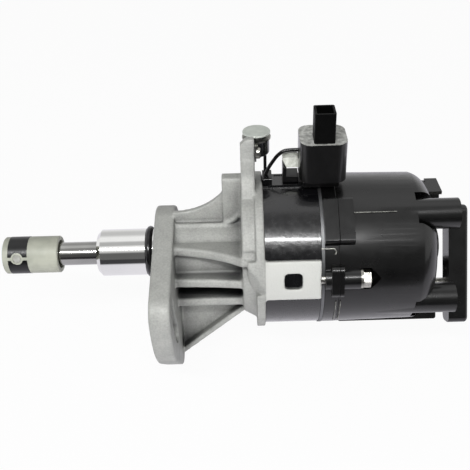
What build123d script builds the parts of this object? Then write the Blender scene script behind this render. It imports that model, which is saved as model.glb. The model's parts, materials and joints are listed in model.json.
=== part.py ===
from build123d import *

import math
import os

# Ignition distributor with a pilot journal, a slotted mounting ear, a coil and
# sensor body held between two housing pillars, and a four-tower cap.
# Frame: +X runs along the drive shaft towards the cap, +Z up through the plug,
# origin on the shaft axis at the face that seats on the engine. Millimetres.

# Clearances and small values shared by every fit
seat_gap = 0.02        # pieces fixed to each other
running_gap = 0.05     # a shaft in its bush or seal, on the radius
free_gap = 0.3         # pieces on different bodies that never touch
joint_gap = 0.1        # face to face joints between mouldings
cut_over = 1.0         # how far a cutting shape runs past the face it opens
half_turn = 180.0
full_turn = 360.0

# The two sizes that the round bodies and the cap's end follow
rim_r = 40.0
cap_crown_x = 140.0

# Turn of the clamp line (pillars, cap screws, ribs) up from -Y
clamp_turn = 10.0

# Drive shaft
shaft_r = 6.0
shaft_right = 104.0
shaft_chamfer = 0.8
circlip_w = 1.0
circlip_r = 8.0
circlip_depth = 0.5

# Pilot journal and its seal ring
pilot_r = 12.0
pilot_len = 24.8
pilot_chamfer = 2.0
seal_groove_w = 3.8
seal_groove_depth = 2.2
seal_cord_r = 1.75
pilot_land = 1.8
spigot_len = 14.0

# Mounting ear
flange_t = 10.0
hub_centre = (3.0, 2.5)
hub_r = 20.0
ear_out_r = 57.9
ear_arc_w = 22.0
ear_arc_start = 183.4
ear_arc_span = 46.6
foot_corner = (-15.0, -53.6)
foot_corner_r = 9.0
foot_far_corner = (-8.0, -53.0)
foot_far_r = 8.0
slot_pitch_r = 43.5
slot_w = 9.0
slot_start = 186.0
slot_span = 34.0
ear_edge_round = 1.0

# Neck tube, ribs and gusset
bore_r = 8.0
tube_r = 18.6
rib_t = 4.6
rib_pitch = 15.0
top_rib_under = 6.5
top_rib_near = 21.0
top_rib_far = 37.6
mid_rib_near = 26.0
mid_rib_far = 29.5
low_rib_half = 18.0
rib_round = 1.4
web_t = 3.0
gusset_web_t = 4.0
gusset_flange_w = 16.0
gusset_flange_t = 3.5
gusset_foot_z = 58.5
gusset_head_z = 31.5
spine_start_z = 23.9
spine_mid_z = 26.0
spine_end_z = 34.5
buttress_w = 7.0
buttress_len = 9.0
buttress_z = 43.5

# Bell, pillars and lug
bell_left = 43.5
bell_face_r = rim_r - 8.4
bell_r = rim_r - 4.8
rim_left = 50.2
rim_w = 4.2
bell_floor = 52.2
bell_cavity_r = rim_r - 5.5
plate_r = rim_r - 2.6
plate_under = 11.1
strip_r = rim_r - 1.4
strip_under = 14.6
strip_w = 5.2
pillar_in_r = rim_r - 8.0
pillar_out_r = rim_r - 0.4
pillar_half = 10.2
root_left = 46.0
root_tip_right = 54.2
root_tip_z = -4.7
root_low_z = -7.0
pillar_right = 81.0
pillar_slot_len = 8.6
pillar_slot_w = 8.2
pillar_slot_depth = 3.4
pillar_slot_x = 67.6
pillar_slot_round = 2.0
lug_top = rim_r + 25.0
lug_left = 44.0
lug_right = 50.8
lug_near = -6.0
lug_t = 5.0
lug_chamfer = 3.0
lug_root_near = -12.0
lug_root_far = 8.0
lug_root_z = rim_r - 4.0
lug_step_z = lug_top - 11.0
lug_step_depth = 0.6

# Ball bearing
bearing_w = 10.0
bearing_out_r = 16.0
outer_race_in_r = 13.3
inner_race_out_r = 8.7
ball_r = 2.8
ball_pitch_r = 11.0
ball_count = 8
ball_gap = 0.06
cage_w = 7.0
cage_in_r = 10.2
cage_out_r = 12.6
retainer_t = 1.2
retainer_r = 23.0
retainer_bore_r = 13.8
retainer_screw_pitch_r = 19.6

# Bush and shaft seal
bush_len = 20.0
bush_inset = 1.0
seal_left = 30.0
seal_len = 7.0

# Small machine screws, named by thread
m3_r = 1.5
m3_head_r = 2.8
m3_head_t = 2.0
m4_r = 2.0
m4_head_r = 3.6
m4_head_t = 2.6
m5_r = 2.5
m5_hex_r = 4.6
m5_head_t = 3.6
m5_washer_r = 5.0
m5_washer_t = 1.2
thread_gap = 0.03

# Coil and sensor body
body_r = rim_r - 1.9
body_bore_r = rim_r - 10.5
body_floor_t = 3.0
body_spigot_len = 1.2
body_shaft_r = 14.0
body_relief = 0.8
channel_gap = 0.3
pad_left = 57.5
pad_near = -3.0
pad_far = 8.5
pad_z = body_r + 1.0
pad_panel_left = 60.0
pad_panel_len = 15.0
pad_panel_depth = 0.4

# Signal plate, its hub and the pickup
hub_plate_r = 9.5
hub_plate_left = 62.0
hub_plate_len = 11.0
signal_x = 68.0
signal_t = 0.8
signal_r = body_bore_r - 4.5
signal_slot_count = 24
signal_slot_r = signal_r - 3.0
signal_slot_w = 1.6
signal_slot_len = 3.2
signal_window_count = 4
signal_window_pitch_r = 16.0
signal_window_r = 2.0
pickup_in_r = body_bore_r - 10.5
pickup_out_r = body_bore_r - 1.5
pickup_half_w = 9.0
pickup_right = 75.5
pickup_gap = 2.0
pickup_turn = -60.0
base_left = 59.3
base_t = 1.5
base_r = body_bore_r - 0.6
base_bore_r = 15.5
base_screw_pitch_r = body_bore_r - 6.5

# Spacer ring and dust cover
spacer_w = 1.4
spacer_r = body_r + 0.5
spacer_bore_r = pillar_in_r - 0.3
cover_left = pillar_right + 1.5
cover_right = cover_left + 6.9
cover_r = rim_r - 1.6
cover_wall = 3.2
cover_web_t = 1.8
cover_bore_r = 14.5

# Cap
cap_r = rim_r - 1.7
cap_shoulder_r = cap_r - 0.7
cap_wall = 3.0
cap_shoulder_x = cap_crown_x - 11.0
cap_edge_x = cap_crown_x - 2.0
cap_edge_r = cap_r - 11.0
cap_crown_r = 10.0
cap_boss_r = 9.0
cap_boss_x = cap_crown_x + 3.4
cap_inside_x = cap_crown_x - 16.5

# Towers
tower_pitch_r = cap_r - 7.8
tower_r = 7.5
tower_bore_r = 4.6
tower_x = cap_crown_x + 8.4
tower_bore_depth = 12.0
tower_first_turn = 63.0
tower_count = 4
tower_turn = full_turn / tower_count
tower_root_x = 110.0
tower_groove_r = 10.6
tower_groove_x = cap_crown_x - 12.6
hood_turn = 2
hood_left = cap_crown_x - 4.5
hood_len = 12.0
hood_w = 14.0
hood_t = 1.8
hood_near = 13.0
hood_z = 23.6

# Cap terminals, brush and spring
terminal_r = 3.0
terminal_left = 101.0
brush_r = 2.4
brush_len = 9.0
brush_gap = 0.08
holder_r = 5.2
holder_left = 113.5
spring_len = 7.6
spring_wire_r = 0.35
spring_turns = 5.0
centre_terminal_t = 1.6
centre_terminal_r = 3.6

# Raised block, lower rib and screw lugs on the cap
block_turn = 52.0
block_w = 22.0
block_out_r = cap_r + 3.4
block_in_r = cap_r - 2.1
block_right = 96.5
block_round = 1.2
fin_turn = -63.0
fin_w = 8.0
fin_in_r = cap_r - 8.1
fin_out_r = cap_r + 0.5
fin_left = 92.0
fin_right = cap_crown_x + 3.0
screw_pitch_r = cover_r - 1.5
lug_half_w = 8.0
lug_out_r = screw_pitch_r + 5.5
lug_cap_w = 1.8
lug_cover_w = 4.0
boss_r = 5.2
boss_right = cover_right + 9.8
screw_tip_x = 73.5

# Lead retainer bar across the cap's end
bar_left = tower_x + 0.4
bar_t = 10.0
bar_len = 61.0
bar_depth = 12.0
bar_round = 3.4
bar_turn = 118.0
bar_centre_y = -6.0
bar_centre_z = -8.5
leg_r = 5.0
leg_high = 26.0
leg_low = -12.5
leg_pad_r = 6.2
leg_pad_x = cap_crown_x + 1.5
bar_screw_len = 18.0

# Rotor arm
rotor_left = 87.0
rotor_hub_r = 11.0
rotor_arm_left = 101.0
rotor_right = 108.0
rotor_arm_w = 15.0
rotor_arm_len = tower_pitch_r - 6.0
rotor_tail_len = 14.0
blade_t = 1.6
blade_w = 8.0
blade_len = tower_pitch_r - 4.1
blade_tail = 5.0

# Coupling at the drive end
sleeve_left = -78.5
sleeve_right = -50.5
sleeve_r = 9.5
sleeve_chamber_r = 7.5
sleeve_chamber_right = -64.0
sleeve_counterbore_r = 7.4
sleeve_counterbore_depth = 2.5
sleeve_hole_r = 1.6
sleeve_hole_x = -55.5
band_left = -75.6
band_w = 9.8
band_t = 0.9
band_split = 1.6
band_eye_r = 3.1
pin_r = 2.1
pin_x = -71.0
pin_turn = 22.0
dog_left = -77.0
dog_right = -64.4
dog_slot_w = 4.2
dog_slot_depth = 3.4

# Plug on top
plug_x = 83.2
collar_across = 22.2
collar_low = pad_z + 4.9
collar_top = collar_low + 20.0
collar_round = 1.0
neck_left = 74.0
neck_right = 91.0
neck_half_y = 7.0
neck_low = pad_z + 0.3
foot_left = 72.0
socket_left = 78.4
socket_w = 9.8
socket_near = -9.6
socket_len = 10.6
socket_top = collar_top + 14.8
socket_wall = 1.1
socket_floor = collar_top + 2.0
pin_count = 3
pin_pitch = 2.8
pin_blade_t = 0.7
pin_blade_w = 1.8
pin_blade_top = collar_top + 9.0

# Condenser on the lug
can_x = 52.0
can_y = 6.2
can_r = 6.2
can_low = lug_top - 12.5
can_high = lug_top - 3.4
can_neck_r = 5.0
can_head_r = 6.7
can_head_t = 1.3
can_head_z = lug_top - 0.2
strap_t = 0.8
strap_r = 6.9
strap_low = lug_top - 12.0
strap_w = 7.0
strap_screw_z = lug_top - 8.0
strap_screw_y = -2.8

# Leads and what holds them
lead_r = 0.9
lead_y = 4.0
lead_route = [(55.6, 40.2), (57.8, 45.6), (61.8, 51.6), (65.0, 54.2), (68.4, 54.5), (72.05, 54.5)]
short_lead_r = 0.8
grommet_left = 54.5
grommet_w = 4.6
grommet_half_y = 5.0
grommet_z = body_r + 3.4
grommet_low = body_r + 0.3
grommet_hold = 1.2
clip_left = 63.4
clip_w = 8.6
clip_near = 0.5
clip_far = 8.0
clip_low = pad_z + 3.8
clip_top = clip_low + 11.4
clip_groove_depth = 3.4
bracket_left = 63.0
bracket_w = 9.0
bracket_t = 3.4
bracket_horn_w = 1.8
bracket_horn_top = pad_z + 8.4

# Values that follow from the sizes above
pilot_right = -(pilot_land + seal_groove_w)
pilot_left = pilot_right - pilot_len
groove_r = pilot_r - seal_groove_depth
rim_right = rim_left + rim_w
ear_arc_r = ear_out_r - ear_arc_w / 2
bearing_right = bell_floor
bearing_left = bearing_right - bearing_w
bearing_mid = bearing_right - bearing_w / 2
mid_rib_under = top_rib_under - rib_pitch
low_rib_under = mid_rib_under - rib_pitch
spacer_left = pillar_right + joint_gap / 2
spacer_right = spacer_left + spacer_w
pin_hole_r = pin_r + seat_gap
blade_right = rotor_right + blade_t
brush_left = blade_right + free_gap
brush_right = brush_left + brush_len
spring_left = brush_right + seat_gap
spring_right = spring_left + spring_len
centre_left = spring_right + seat_gap
centre_right = centre_left + centre_terminal_t
bar_right = bar_left + bar_t
bar_mid = (bar_left + bar_right) / 2
tower_floor_x = tower_x - tower_bore_depth
post_left = blade_right + 4 * free_gap
pocket_r = m5_washer_r + 2 * free_gap
pocket_cone = pocket_r / 2
pocket_right = boss_right + m5_washer_t + m5_head_t + free_gap


def spoke(angle, radius):
    """Place in the YZ plane at an angle above -Y."""
    turn = math.radians(angle)
    return -radius * math.cos(turn), radius * math.sin(turn)


def turned(shape, angle):
    """Turns a shape that was drawn at -Y up about the shaft."""
    return Rot(X=-angle) * shape


def bar_x(x0, x1, radius, y=0.0, z=0.0):
    """A round bar along X."""
    return Pos(x0, y, z) * Rot(Y=90) * Cylinder(radius, x1 - x0, align=(Align.CENTER, Align.CENTER, Align.MIN))


def bar_z(z0, z1, radius, x=0.0, y=0.0):
    """A round bar along Z."""
    return Pos(x, y, z0) * Cylinder(radius, z1 - z0, align=(Align.CENTER, Align.CENTER, Align.MIN))


def ring_x(x0, x1, outer, inner, y=0.0, z=0.0):
    """A round ring along X."""
    return bar_x(x0, x1, outer, y, z) - bar_x(x0 - cut_over, x1 + cut_over, inner, y, z)


def block(x0, x1, y0, y1, z0, z1):
    """A block between two corners."""
    return Pos(x0, y0, z0) * Box(x1 - x0, y1 - y0, z1 - z0, align=(Align.MIN, Align.MIN, Align.MIN))


def lathe(*points):
    """A turned solid from its half section of (x, radius) points."""
    return revolve(make_face(Polyline(*points, close=True)), Axis.X)


def across(face, x0, x1):
    """A face drawn as (y, z) carried from x0 to x1."""
    return extrude(Plane.YZ.offset(x0) * face, amount=x1 - x0)


def rounded(shape, edges, radius):
    """Rounds chosen edges of a shape."""
    return fillet(edges(shape), radius)


def clamp_pair(shape):
    """A shape drawn at -Y, turned to both ends of the clamp line."""
    return [turned(shape, clamp_turn), turned(shape, clamp_turn + half_turn)]


def above_clamp(height, x0, x1):
    """The space over a plane that lies parallel to the clamp line."""
    reach = gusset_foot_z + lug_top
    return turned(block(x0, x1, -reach, reach, height, height + reach), clamp_turn)


def mounting_ear():
    """The ear: the hull of the hub, an arc round the shaft and the foot, with an arc slot."""
    rounds = [
        Pos(*hub_centre) * Circle(hub_r),
        SlotArc(CenterArc((0, 0), ear_arc_r, ear_arc_start, ear_arc_span), ear_arc_w),
        Pos(*foot_corner) * Circle(foot_corner_r),
        Pos(*foot_far_corner) * Circle(foot_far_r),
    ]
    outline = make_hull([edge for face in rounds for edge in face.edges()])
    plate = across(outline, 0, flange_t)
    plate = fillet(plate.edges().filter_by(lambda edge: edge.bounding_box().size.X < seat_gap), ear_edge_round)
    slot = SlotArc(CenterArc((0, 0), slot_pitch_r, slot_start, slot_span), slot_w)
    return plate - across(slot, -cut_over, flange_t + cut_over)


def flared_rib(under, near, far, x0, x1):
    """A rib parallel to the clamp line whose two edges flare towards the bell."""
    flare = far - near
    mid = (x0 + x1) / 2
    bow = near + flare / 4
    edge_a = ThreePointArc((x0, -near), (mid, -bow), (x1, -far))
    edge_b = Line((x1, -far), (x1, far))
    edge_c = ThreePointArc((x1, far), (mid, bow), (x0, near))
    edge_d = Line((x0, near), (x0, -near))
    outline = make_face([edge_a, edge_b, edge_c, edge_d])
    plate = Pos(0, 0, under) * extrude(outline, amount=rib_t)
    arcs = [edge for edge in plate.edges() if edge.geom_type == GeomType.CIRCLE]
    return turned(fillet(arcs, rib_round), clamp_turn)


def gusset():
    """The I-shaped web under the neck, from the ear's foot up to the bell."""
    web_outline = Polyline(
        (flange_t - cut_over, 0),
        (flange_t - cut_over, -gusset_foot_z),
        (bell_left + cut_over, -gusset_head_z),
        (bell_left + cut_over, 0),
        close=True,
    )
    web = extrude(Plane.XZ * make_face(web_outline), amount=gusset_web_t / 2, both=True)
    edge_outline = Polyline(
        (flange_t - cut_over, -gusset_foot_z),
        (flange_t - cut_over, -gusset_foot_z + gusset_flange_t),
        (bell_left + cut_over, -gusset_head_z + gusset_flange_t),
        (bell_left + cut_over, -gusset_head_z),
        close=True,
    )
    edge = extrude(Plane.XZ * make_face(edge_outline), amount=gusset_flange_w / 2, both=True)
    return turned(web + edge, clamp_turn)


def spine():
    """The curved web on top of the neck, and the buttress behind the lug."""
    neck_end = bell_left - buttress_len
    crest = ThreePointArc(
        (flange_t - cut_over, spine_start_z),
        ((flange_t + neck_end) / 2, spine_mid_z),
        (neck_end, spine_end_z),
    )
    sides = Polyline((neck_end, spine_end_z), (bell_left, spine_end_z), (bell_left, 0), (flange_t - cut_over, 0),
                     (flange_t - cut_over, spine_start_z))
    web = extrude(Plane.XZ * make_face([crest, sides]), amount=web_t / 2, both=True)
    buttress = block(neck_end, bell_left + cut_over, -buttress_w / 2, buttress_w / 2, 0, buttress_z)
    return web + fillet(buttress.edges().filter_by(Axis.X), rib_round)


def housing_lug():
    """The lug that stands up beside the body and carries the condenser."""
    outline = Polyline(
        (lug_root_near, 0),
        (lug_root_near, lug_root_z),
        (lug_near, lug_root_z + (lug_root_far - lug_root_near) / 2),
        (lug_near, lug_top),
        (lug_near + lug_t, lug_top),
        (lug_near + lug_t, lug_root_z + (lug_root_far - lug_root_near) / 2),
        (lug_root_far, lug_root_z),
        (lug_root_far, 0),
        close=True,
    )
    lug = across(make_face(outline), lug_left, lug_right)
    corner = lug.edges().filter_by(Axis.Y).group_by(Axis.Z)[-1].sort_by(Axis.X)[0]
    lug = chamfer(corner, lug_chamfer)
    face_cut = block(lug_left - cut_over, lug_right + cut_over, lug_near - cut_over, lug_near + lug_step_depth,
                     lug_step_z, lug_top + cut_over)
    return lug - face_cut


def pillar():
    """One pillar with its blind slot, drawn at -Y."""
    left = rim_right - seat_gap
    shell = ring_x(left, pillar_right, pillar_out_r, pillar_in_r)
    side = shell & block(left, pillar_right, -rim_r, 0, -pillar_half, pillar_half)
    half_len = pillar_slot_len / 2
    half_w = pillar_slot_w / 2
    recess = block(pillar_slot_x - half_len, pillar_slot_x + half_len, -rim_r - cut_over,
                   -pillar_out_r + pillar_slot_depth, -half_w, half_w)
    recess = fillet(recess.edges().filter_by(Axis.Y), pillar_slot_round)
    thread = bar_x(screw_tip_x - cut_over, pillar_right + cut_over, m5_r + thread_gap, -screw_pitch_r)
    return side - recess - thread


def pillar_root():
    """The stretch of the rim beside one pillar, cut back slantwise to the bell, drawn at -Y."""
    root = ring_x(root_left, rim_right, pillar_out_r, bell_cavity_r)
    root = root & block(root_left, rim_right, -rim_r, 0, root_low_z, pillar_half)
    run = Vector(root_tip_right - root_left, 0, root_tip_z - pillar_half).normalized()
    aside = Vector(run.Z, 0, -run.X)
    away = (aside - Vector(0, 1, 0)).normalized()
    start = Vector(root_left, -pillar_out_r, pillar_half) - run * pillar_half
    facet = Plane(origin=start, x_dir=run, z_dir=away)
    reach = 2 * rim_r
    return root, facet * Box(reach, reach, reach, align=(Align.MIN, Align.CENTER, Align.MIN))


def make_housing():
    """The cast housing: ear, neck, ribs, bell and pillars, bored for the journal and the bearing."""
    rim_in = rim_right + cut_over
    bell = lathe(
        (flange_t / 2, 0),
        (flange_t / 2, tube_r),
        (bell_left, tube_r),
        (bell_left, bell_face_r),
        (rim_left, bell_r),
        (rim_right, bell_r),
        (rim_right, bell_cavity_r),
        (bell_floor, bell_cavity_r),
        (bell_floor, 0),
    )
    rim = ring_x(rim_left, rim_right, rim_r, bell_cavity_r)
    root, facet = pillar_root()
    room = block(bell_left, rim_in, -rim_r - cut_over, 0, root_low_z, pillar_half)
    for cut, flank in zip(clamp_pair(facet & room), clamp_pair(root - facet)):
        rim = rim - cut
        rim = rim + flank
    upper_plate = ring_x(bell_left, rim_left + cut_over, plate_r, tube_r) & above_clamp(plate_under, 0, rim_in)
    strip = ring_x(lug_left, lug_left + strip_w, strip_r, tube_r) & above_clamp(strip_under, 0, rim_in)
    body = mounting_ear() + bell + rim + upper_plate + strip
    body = body + spine() + housing_lug() + gusset()
    body = body + flared_rib(top_rib_under, top_rib_near, top_rib_far, flange_t / 2, bell_left + cut_over)
    body = body + flared_rib(mid_rib_under, mid_rib_near, mid_rib_far, flange_t / 2, bell_left + cut_over)
    body = body + flared_rib(low_rib_under, low_rib_half, low_rib_half - seat_gap, flange_t / 2, bell_left + cut_over)
    for half in clamp_pair(pillar()):
        body = body + half
    body = body - bar_x(-cut_over, bell_floor + cut_over, bore_r)
    body = body - bar_x(-cut_over, spigot_len + seat_gap, pilot_r + seat_gap)
    body = body - bar_x(bearing_left, bell_floor + cut_over, bearing_out_r + seat_gap)
    for side in (-1, 1):
        z = side * retainer_screw_pitch_r
        hole = bar_x(bell_floor - 6 * m3_r, bell_floor + cut_over, m3_r + thread_gap, 0, z)
        body = body - hole
    strap_hole = bar_x(lug_right - 4 * m3_r, lug_right + cut_over, m3_r + thread_gap, strap_screw_y, strap_screw_z)
    return body - strap_hole


def make_journal():
    """The turned pilot journal, with its seal groove, pressed into the casting's neck."""
    journal = lathe(
        (pilot_left, bore_r),
        (pilot_left, pilot_r - pilot_chamfer),
        (pilot_left + pilot_chamfer, pilot_r),
        (pilot_right, pilot_r),
        (pilot_right, groove_r),
        (-pilot_land, groove_r),
        (-pilot_land, pilot_r),
        (spigot_len, pilot_r),
        (spigot_len, bore_r),
    )
    return journal


def make_pilot_seal():
    """The seal ring in the journal's groove."""
    centre_r = groove_r + seat_gap + seal_cord_r
    centre_x = (pilot_right - pilot_land) / 2
    return Pos(centre_x, 0, 0) * Rot(Y=90) * Torus(centre_r, seal_cord_r)


def make_shaft_bush():
    """The sintered bush inside the journal."""
    left = pilot_left + bush_inset
    return ring_x(left, left + bush_len, bore_r - seat_gap, shaft_r + running_gap)


def make_shaft_seal():
    """The lip seal on the shaft, ahead of the bearing."""
    seal = lathe(
        (seal_left, shaft_r + running_gap),
        (seal_left, bore_r - seat_gap),
        (seal_left + seal_len, bore_r - seat_gap),
        (seal_left + seal_len, bore_r - 4 * running_gap - seat_gap),
        (seal_left + seal_len / 3, shaft_r + bore_r / 8),
    )
    return seal


def race_groove():
    """The ball track, cut from both races."""
    return Pos(bearing_mid, 0, 0) * Rot(Y=90) * Torus(ball_pitch_r, ball_r + ball_gap)


def make_outer_race():
    """The bearing's outer race."""
    return ring_x(bearing_left + seat_gap, bearing_right - seat_gap, bearing_out_r, outer_race_in_r) - race_groove()


def make_inner_race():
    """The bearing's inner race, on the shaft."""
    race = ring_x(bearing_left + seat_gap, bearing_right - seat_gap, inner_race_out_r, shaft_r + seat_gap)
    return race - race_groove()


def make_balls():
    """The ball set."""
    balls = []
    for index in range(ball_count):
        y, z = spoke(full_turn * index / ball_count, ball_pitch_r)
        balls.append(Pos(bearing_mid, y, z) * Sphere(ball_r))
    return balls


def make_cage():
    """The cage that spaces the balls."""
    cage = ring_x(bearing_mid - cage_w / 2, bearing_mid + cage_w / 2, cage_out_r, cage_in_r)
    for index in range(ball_count):
        y, z = spoke(full_turn * index / ball_count, ball_pitch_r)
        cage = cage - Pos(bearing_mid, y, z) * Sphere(ball_r + ball_gap)
    return cage


def make_retainer():
    """The plate that keeps the bearing in the bell."""
    left = bell_floor + seat_gap
    plate = ring_x(left, left + retainer_t, retainer_r, retainer_bore_r)
    for side in (-1, 1):
        plate = plate - bar_x(left - cut_over, left + retainer_t + cut_over, m3_r + thread_gap, 0,
                              side * retainer_screw_pitch_r)
    return plate


def pan_screw(head_left, thread_r, head_r, head_t, tip_x, y, z):
    """A screw along X whose head lies on its +X end."""
    shank = bar_x(tip_x, head_left + head_t / 2, thread_r, y, z)
    head = bar_x(head_left, head_left + head_t, head_r, y, z)
    head = chamfer(head.edges().group_by(Axis.X)[-1], head_t / 4)
    drive = block(head_left + head_t / 2, head_left + head_t + cut_over, y - head_t / 6, y + head_t / 6,
                  z - head_r, z + head_r)
    return (shank + head) - drive


def make_retainer_screws():
    """The two screws of the bearing's plate."""
    left = bell_floor + retainer_t + 2 * seat_gap
    tip = bell_floor - 5 * m3_r
    places = (-retainer_screw_pitch_r, retainer_screw_pitch_r)
    return [pan_screw(left, m3_r, m3_head_r, m3_head_t / 2, tip, 0, z) for z in places]


def make_sensor_body():
    """The black moulding between the pillars, open towards the cap."""
    left = rim_right + joint_gap
    right = pillar_right - joint_gap / 2
    shell = bar_x(left, right, body_r)
    spigot_left = rim_right - body_spigot_len
    shell = shell + ring_x(spigot_left, left + cut_over, bell_cavity_r - channel_gap, retainer_r + cut_over)
    pad = block(pad_left, right, pad_near, pad_far, body_bore_r + body_floor_t, pad_z)
    shell = shell + pad
    channel = ring_x(rim_left, pillar_right + cut_over, rim_r + cut_over, pillar_in_r - channel_gap)
    channel = channel & block(rim_left - cut_over, pillar_right + 2 * cut_over, -rim_r - cut_over, 0,
                              -pillar_half - channel_gap, pillar_half + channel_gap)
    for cut in clamp_pair(channel):
        shell = shell - cut
    shell = shell - bar_x(left + body_floor_t, right + cut_over, body_bore_r)
    shell = shell - bar_x(rim_left, right, body_shaft_r)
    shell = shell - bar_x(rim_left, left + body_relief, retainer_r + free_gap)
    panel = block(pad_panel_left, pad_panel_left + pad_panel_len, pad_near + cut_over, pad_far - cut_over,
                  pad_z - pad_panel_depth, pad_z + cut_over)
    shell = shell - panel
    for angle in (half_turn / 2 + pickup_turn, pickup_turn - half_turn / 2):
        y, z = spoke(angle, base_screw_pitch_r)
        shell = shell - bar_x(rim_left, base_left + cut_over, m3_r + thread_gap, y, z)
    seat = grommet_seat()
    return shell - seat


def grommet_seat():
    """The pocket in the body's rim that takes the lead grommet."""
    return block(grommet_left - seat_gap, grommet_left + grommet_w + seat_gap, lead_y - grommet_half_y - seat_gap,
                 lead_y + grommet_half_y + seat_gap, grommet_low - seat_gap, grommet_z + cut_over)


def make_pickup_base():
    """The base plate of the pickup."""
    plate = ring_x(base_left, base_left + base_t, base_r, base_bore_r)
    for angle in (half_turn / 2 + pickup_turn, pickup_turn - half_turn / 2):
        y, z = spoke(angle, base_screw_pitch_r)
        plate = plate - bar_x(base_left - cut_over, base_left + base_t + cut_over, m3_r + thread_gap, y, z)
    return plate


def make_pickup():
    """The pickup head that straddles the signal plate."""
    left = base_left + base_t + seat_gap
    head = block(left, pickup_right, -pickup_out_r, -pickup_in_r, -pickup_half_w, pickup_half_w)
    head = head & bar_x(left - cut_over, pickup_right + cut_over, pickup_out_r)
    throat = block(signal_x - pickup_gap, signal_x + signal_t + pickup_gap, -signal_r - pickup_gap / 2,
                   -pickup_in_r + cut_over, -pickup_half_w - cut_over, pickup_half_w + cut_over)
    return turned(head - throat, pickup_turn)


def make_pickup_screws():
    """The two screws of the pickup's base."""
    left = base_left + base_t + seat_gap
    screws = []
    for angle in (half_turn / 2 + pickup_turn, pickup_turn - half_turn / 2):
        y, z = spoke(angle, base_screw_pitch_r)
        screws.append(pan_screw(left, m3_r, m3_head_r, m3_head_t, base_left - body_floor_t + m3_r, y, z))
    return screws


def make_signal_plate():
    """The slotted plate, one slot ring for position and one window per cylinder."""
    plate = ring_x(signal_x, signal_x + signal_t, signal_r, hub_plate_r + seat_gap)
    cuts = []
    for index in range(signal_slot_count):
        slot = block(signal_x - cut_over, signal_x + signal_t + cut_over, -signal_slot_r - signal_slot_len / 2,
                     -signal_slot_r + signal_slot_len / 2, -signal_slot_w / 2, signal_slot_w / 2)
        cuts.append(turned(slot, full_turn * index / signal_slot_count))
    for index in range(signal_window_count):
        y, z = spoke(full_turn * index / signal_window_count, signal_window_pitch_r)
        cuts.append(bar_x(signal_x - cut_over, signal_x + signal_t + cut_over, signal_window_r, y, z))
    return plate - cuts


def make_signal_hub():
    """The hub that carries the signal plate on the shaft."""
    hub = ring_x(hub_plate_left, hub_plate_left + hub_plate_len, hub_plate_r, shaft_r + seat_gap)
    flange = ring_x(signal_x - pickup_gap, signal_x - seat_gap, hub_plate_r + signal_window_r, shaft_r + seat_gap)
    return hub + flange


def make_spacer_ring():
    """The thin bright ring between the body and the dust cover."""
    ring = ring_x(spacer_left, spacer_right, spacer_r, spacer_bore_r)
    for hole in clamp_pair(bar_x(spacer_left - cut_over, spacer_right + cut_over, m5_r + free_gap, -screw_pitch_r)):
        ring = ring - hole
    return ring


def screw_lug(x0, x1):
    """A lug round one cap screw, drawn at -Y."""
    lug = block(x0, x1, -lug_out_r, -cover_r + cover_wall / 2, -lug_half_w, lug_half_w)
    return fillet(lug.edges().filter_by(Axis.X).group_by(Axis.Y)[0], boss_r / 2)


def raised_block(x0, x1):
    """A stretch of the raised block that the cap and the cover share."""
    shape = block(x0, x1, -block_out_r, -block_in_r, -block_w / 2, block_w / 2)
    shape = fillet(shape.edges().filter_by(Axis.X).group_by(Axis.Y)[0], block_round)
    return turned(shape, block_turn)


def make_dust_cover():
    """The cover between the sensor chamber and the cap."""
    cover = ring_x(cover_left, cover_right, cover_r, cover_r - cover_wall)
    cover = cover + ring_x(cover_left, cover_left + cover_web_t, cover_r, cover_bore_r)
    for lug in clamp_pair(screw_lug(cover_right - lug_cover_w, cover_right)):
        cover = cover + lug
    for boss in clamp_pair(bar_x(cover_left, cover_right, boss_r, -screw_pitch_r)):
        cover = cover + boss
    cover = cover + raised_block(cover_left, cover_right)
    for hole in clamp_pair(bar_x(cover_left - cut_over, cover_right + cut_over, m5_r + free_gap, -screw_pitch_r)):
        cover = cover - hole
    return cover


def cap_shell():
    """The cap's turned wall, shoulder, crown and centre boss."""
    left = cover_right + joint_gap
    wall_outline = [
        Line((left, 0), (left, cap_r)),
        Line((left, cap_r), (cap_shoulder_x, cap_shoulder_r)),
        RadiusArc((cap_shoulder_x, cap_shoulder_r), (cap_edge_x, cap_edge_r), cap_shoulder_r / 3),
        Line((cap_edge_x, cap_edge_r), (cap_crown_x, cap_crown_r)),
        Line((cap_crown_x, cap_crown_r), (cap_crown_x, 0)),
        Line((cap_crown_x, 0), (left, 0)),
    ]
    return revolve(make_face(wall_outline), Axis.X)


def screw_pocket():
    """The pocket in the cap's wall round one clamp screw's head, drawn at -Y."""
    pocket = bar_x(boss_right, pocket_right, pocket_r)
    pocket = pocket + Pos(pocket_right, 0, 0) * Rot(Y=90) * Cone(pocket_r, 0, pocket_cone * 2,
                                                                  align=(Align.CENTER, Align.CENTER, Align.MIN))
    return Pos(0, -screw_pitch_r, 0) * pocket


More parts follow.
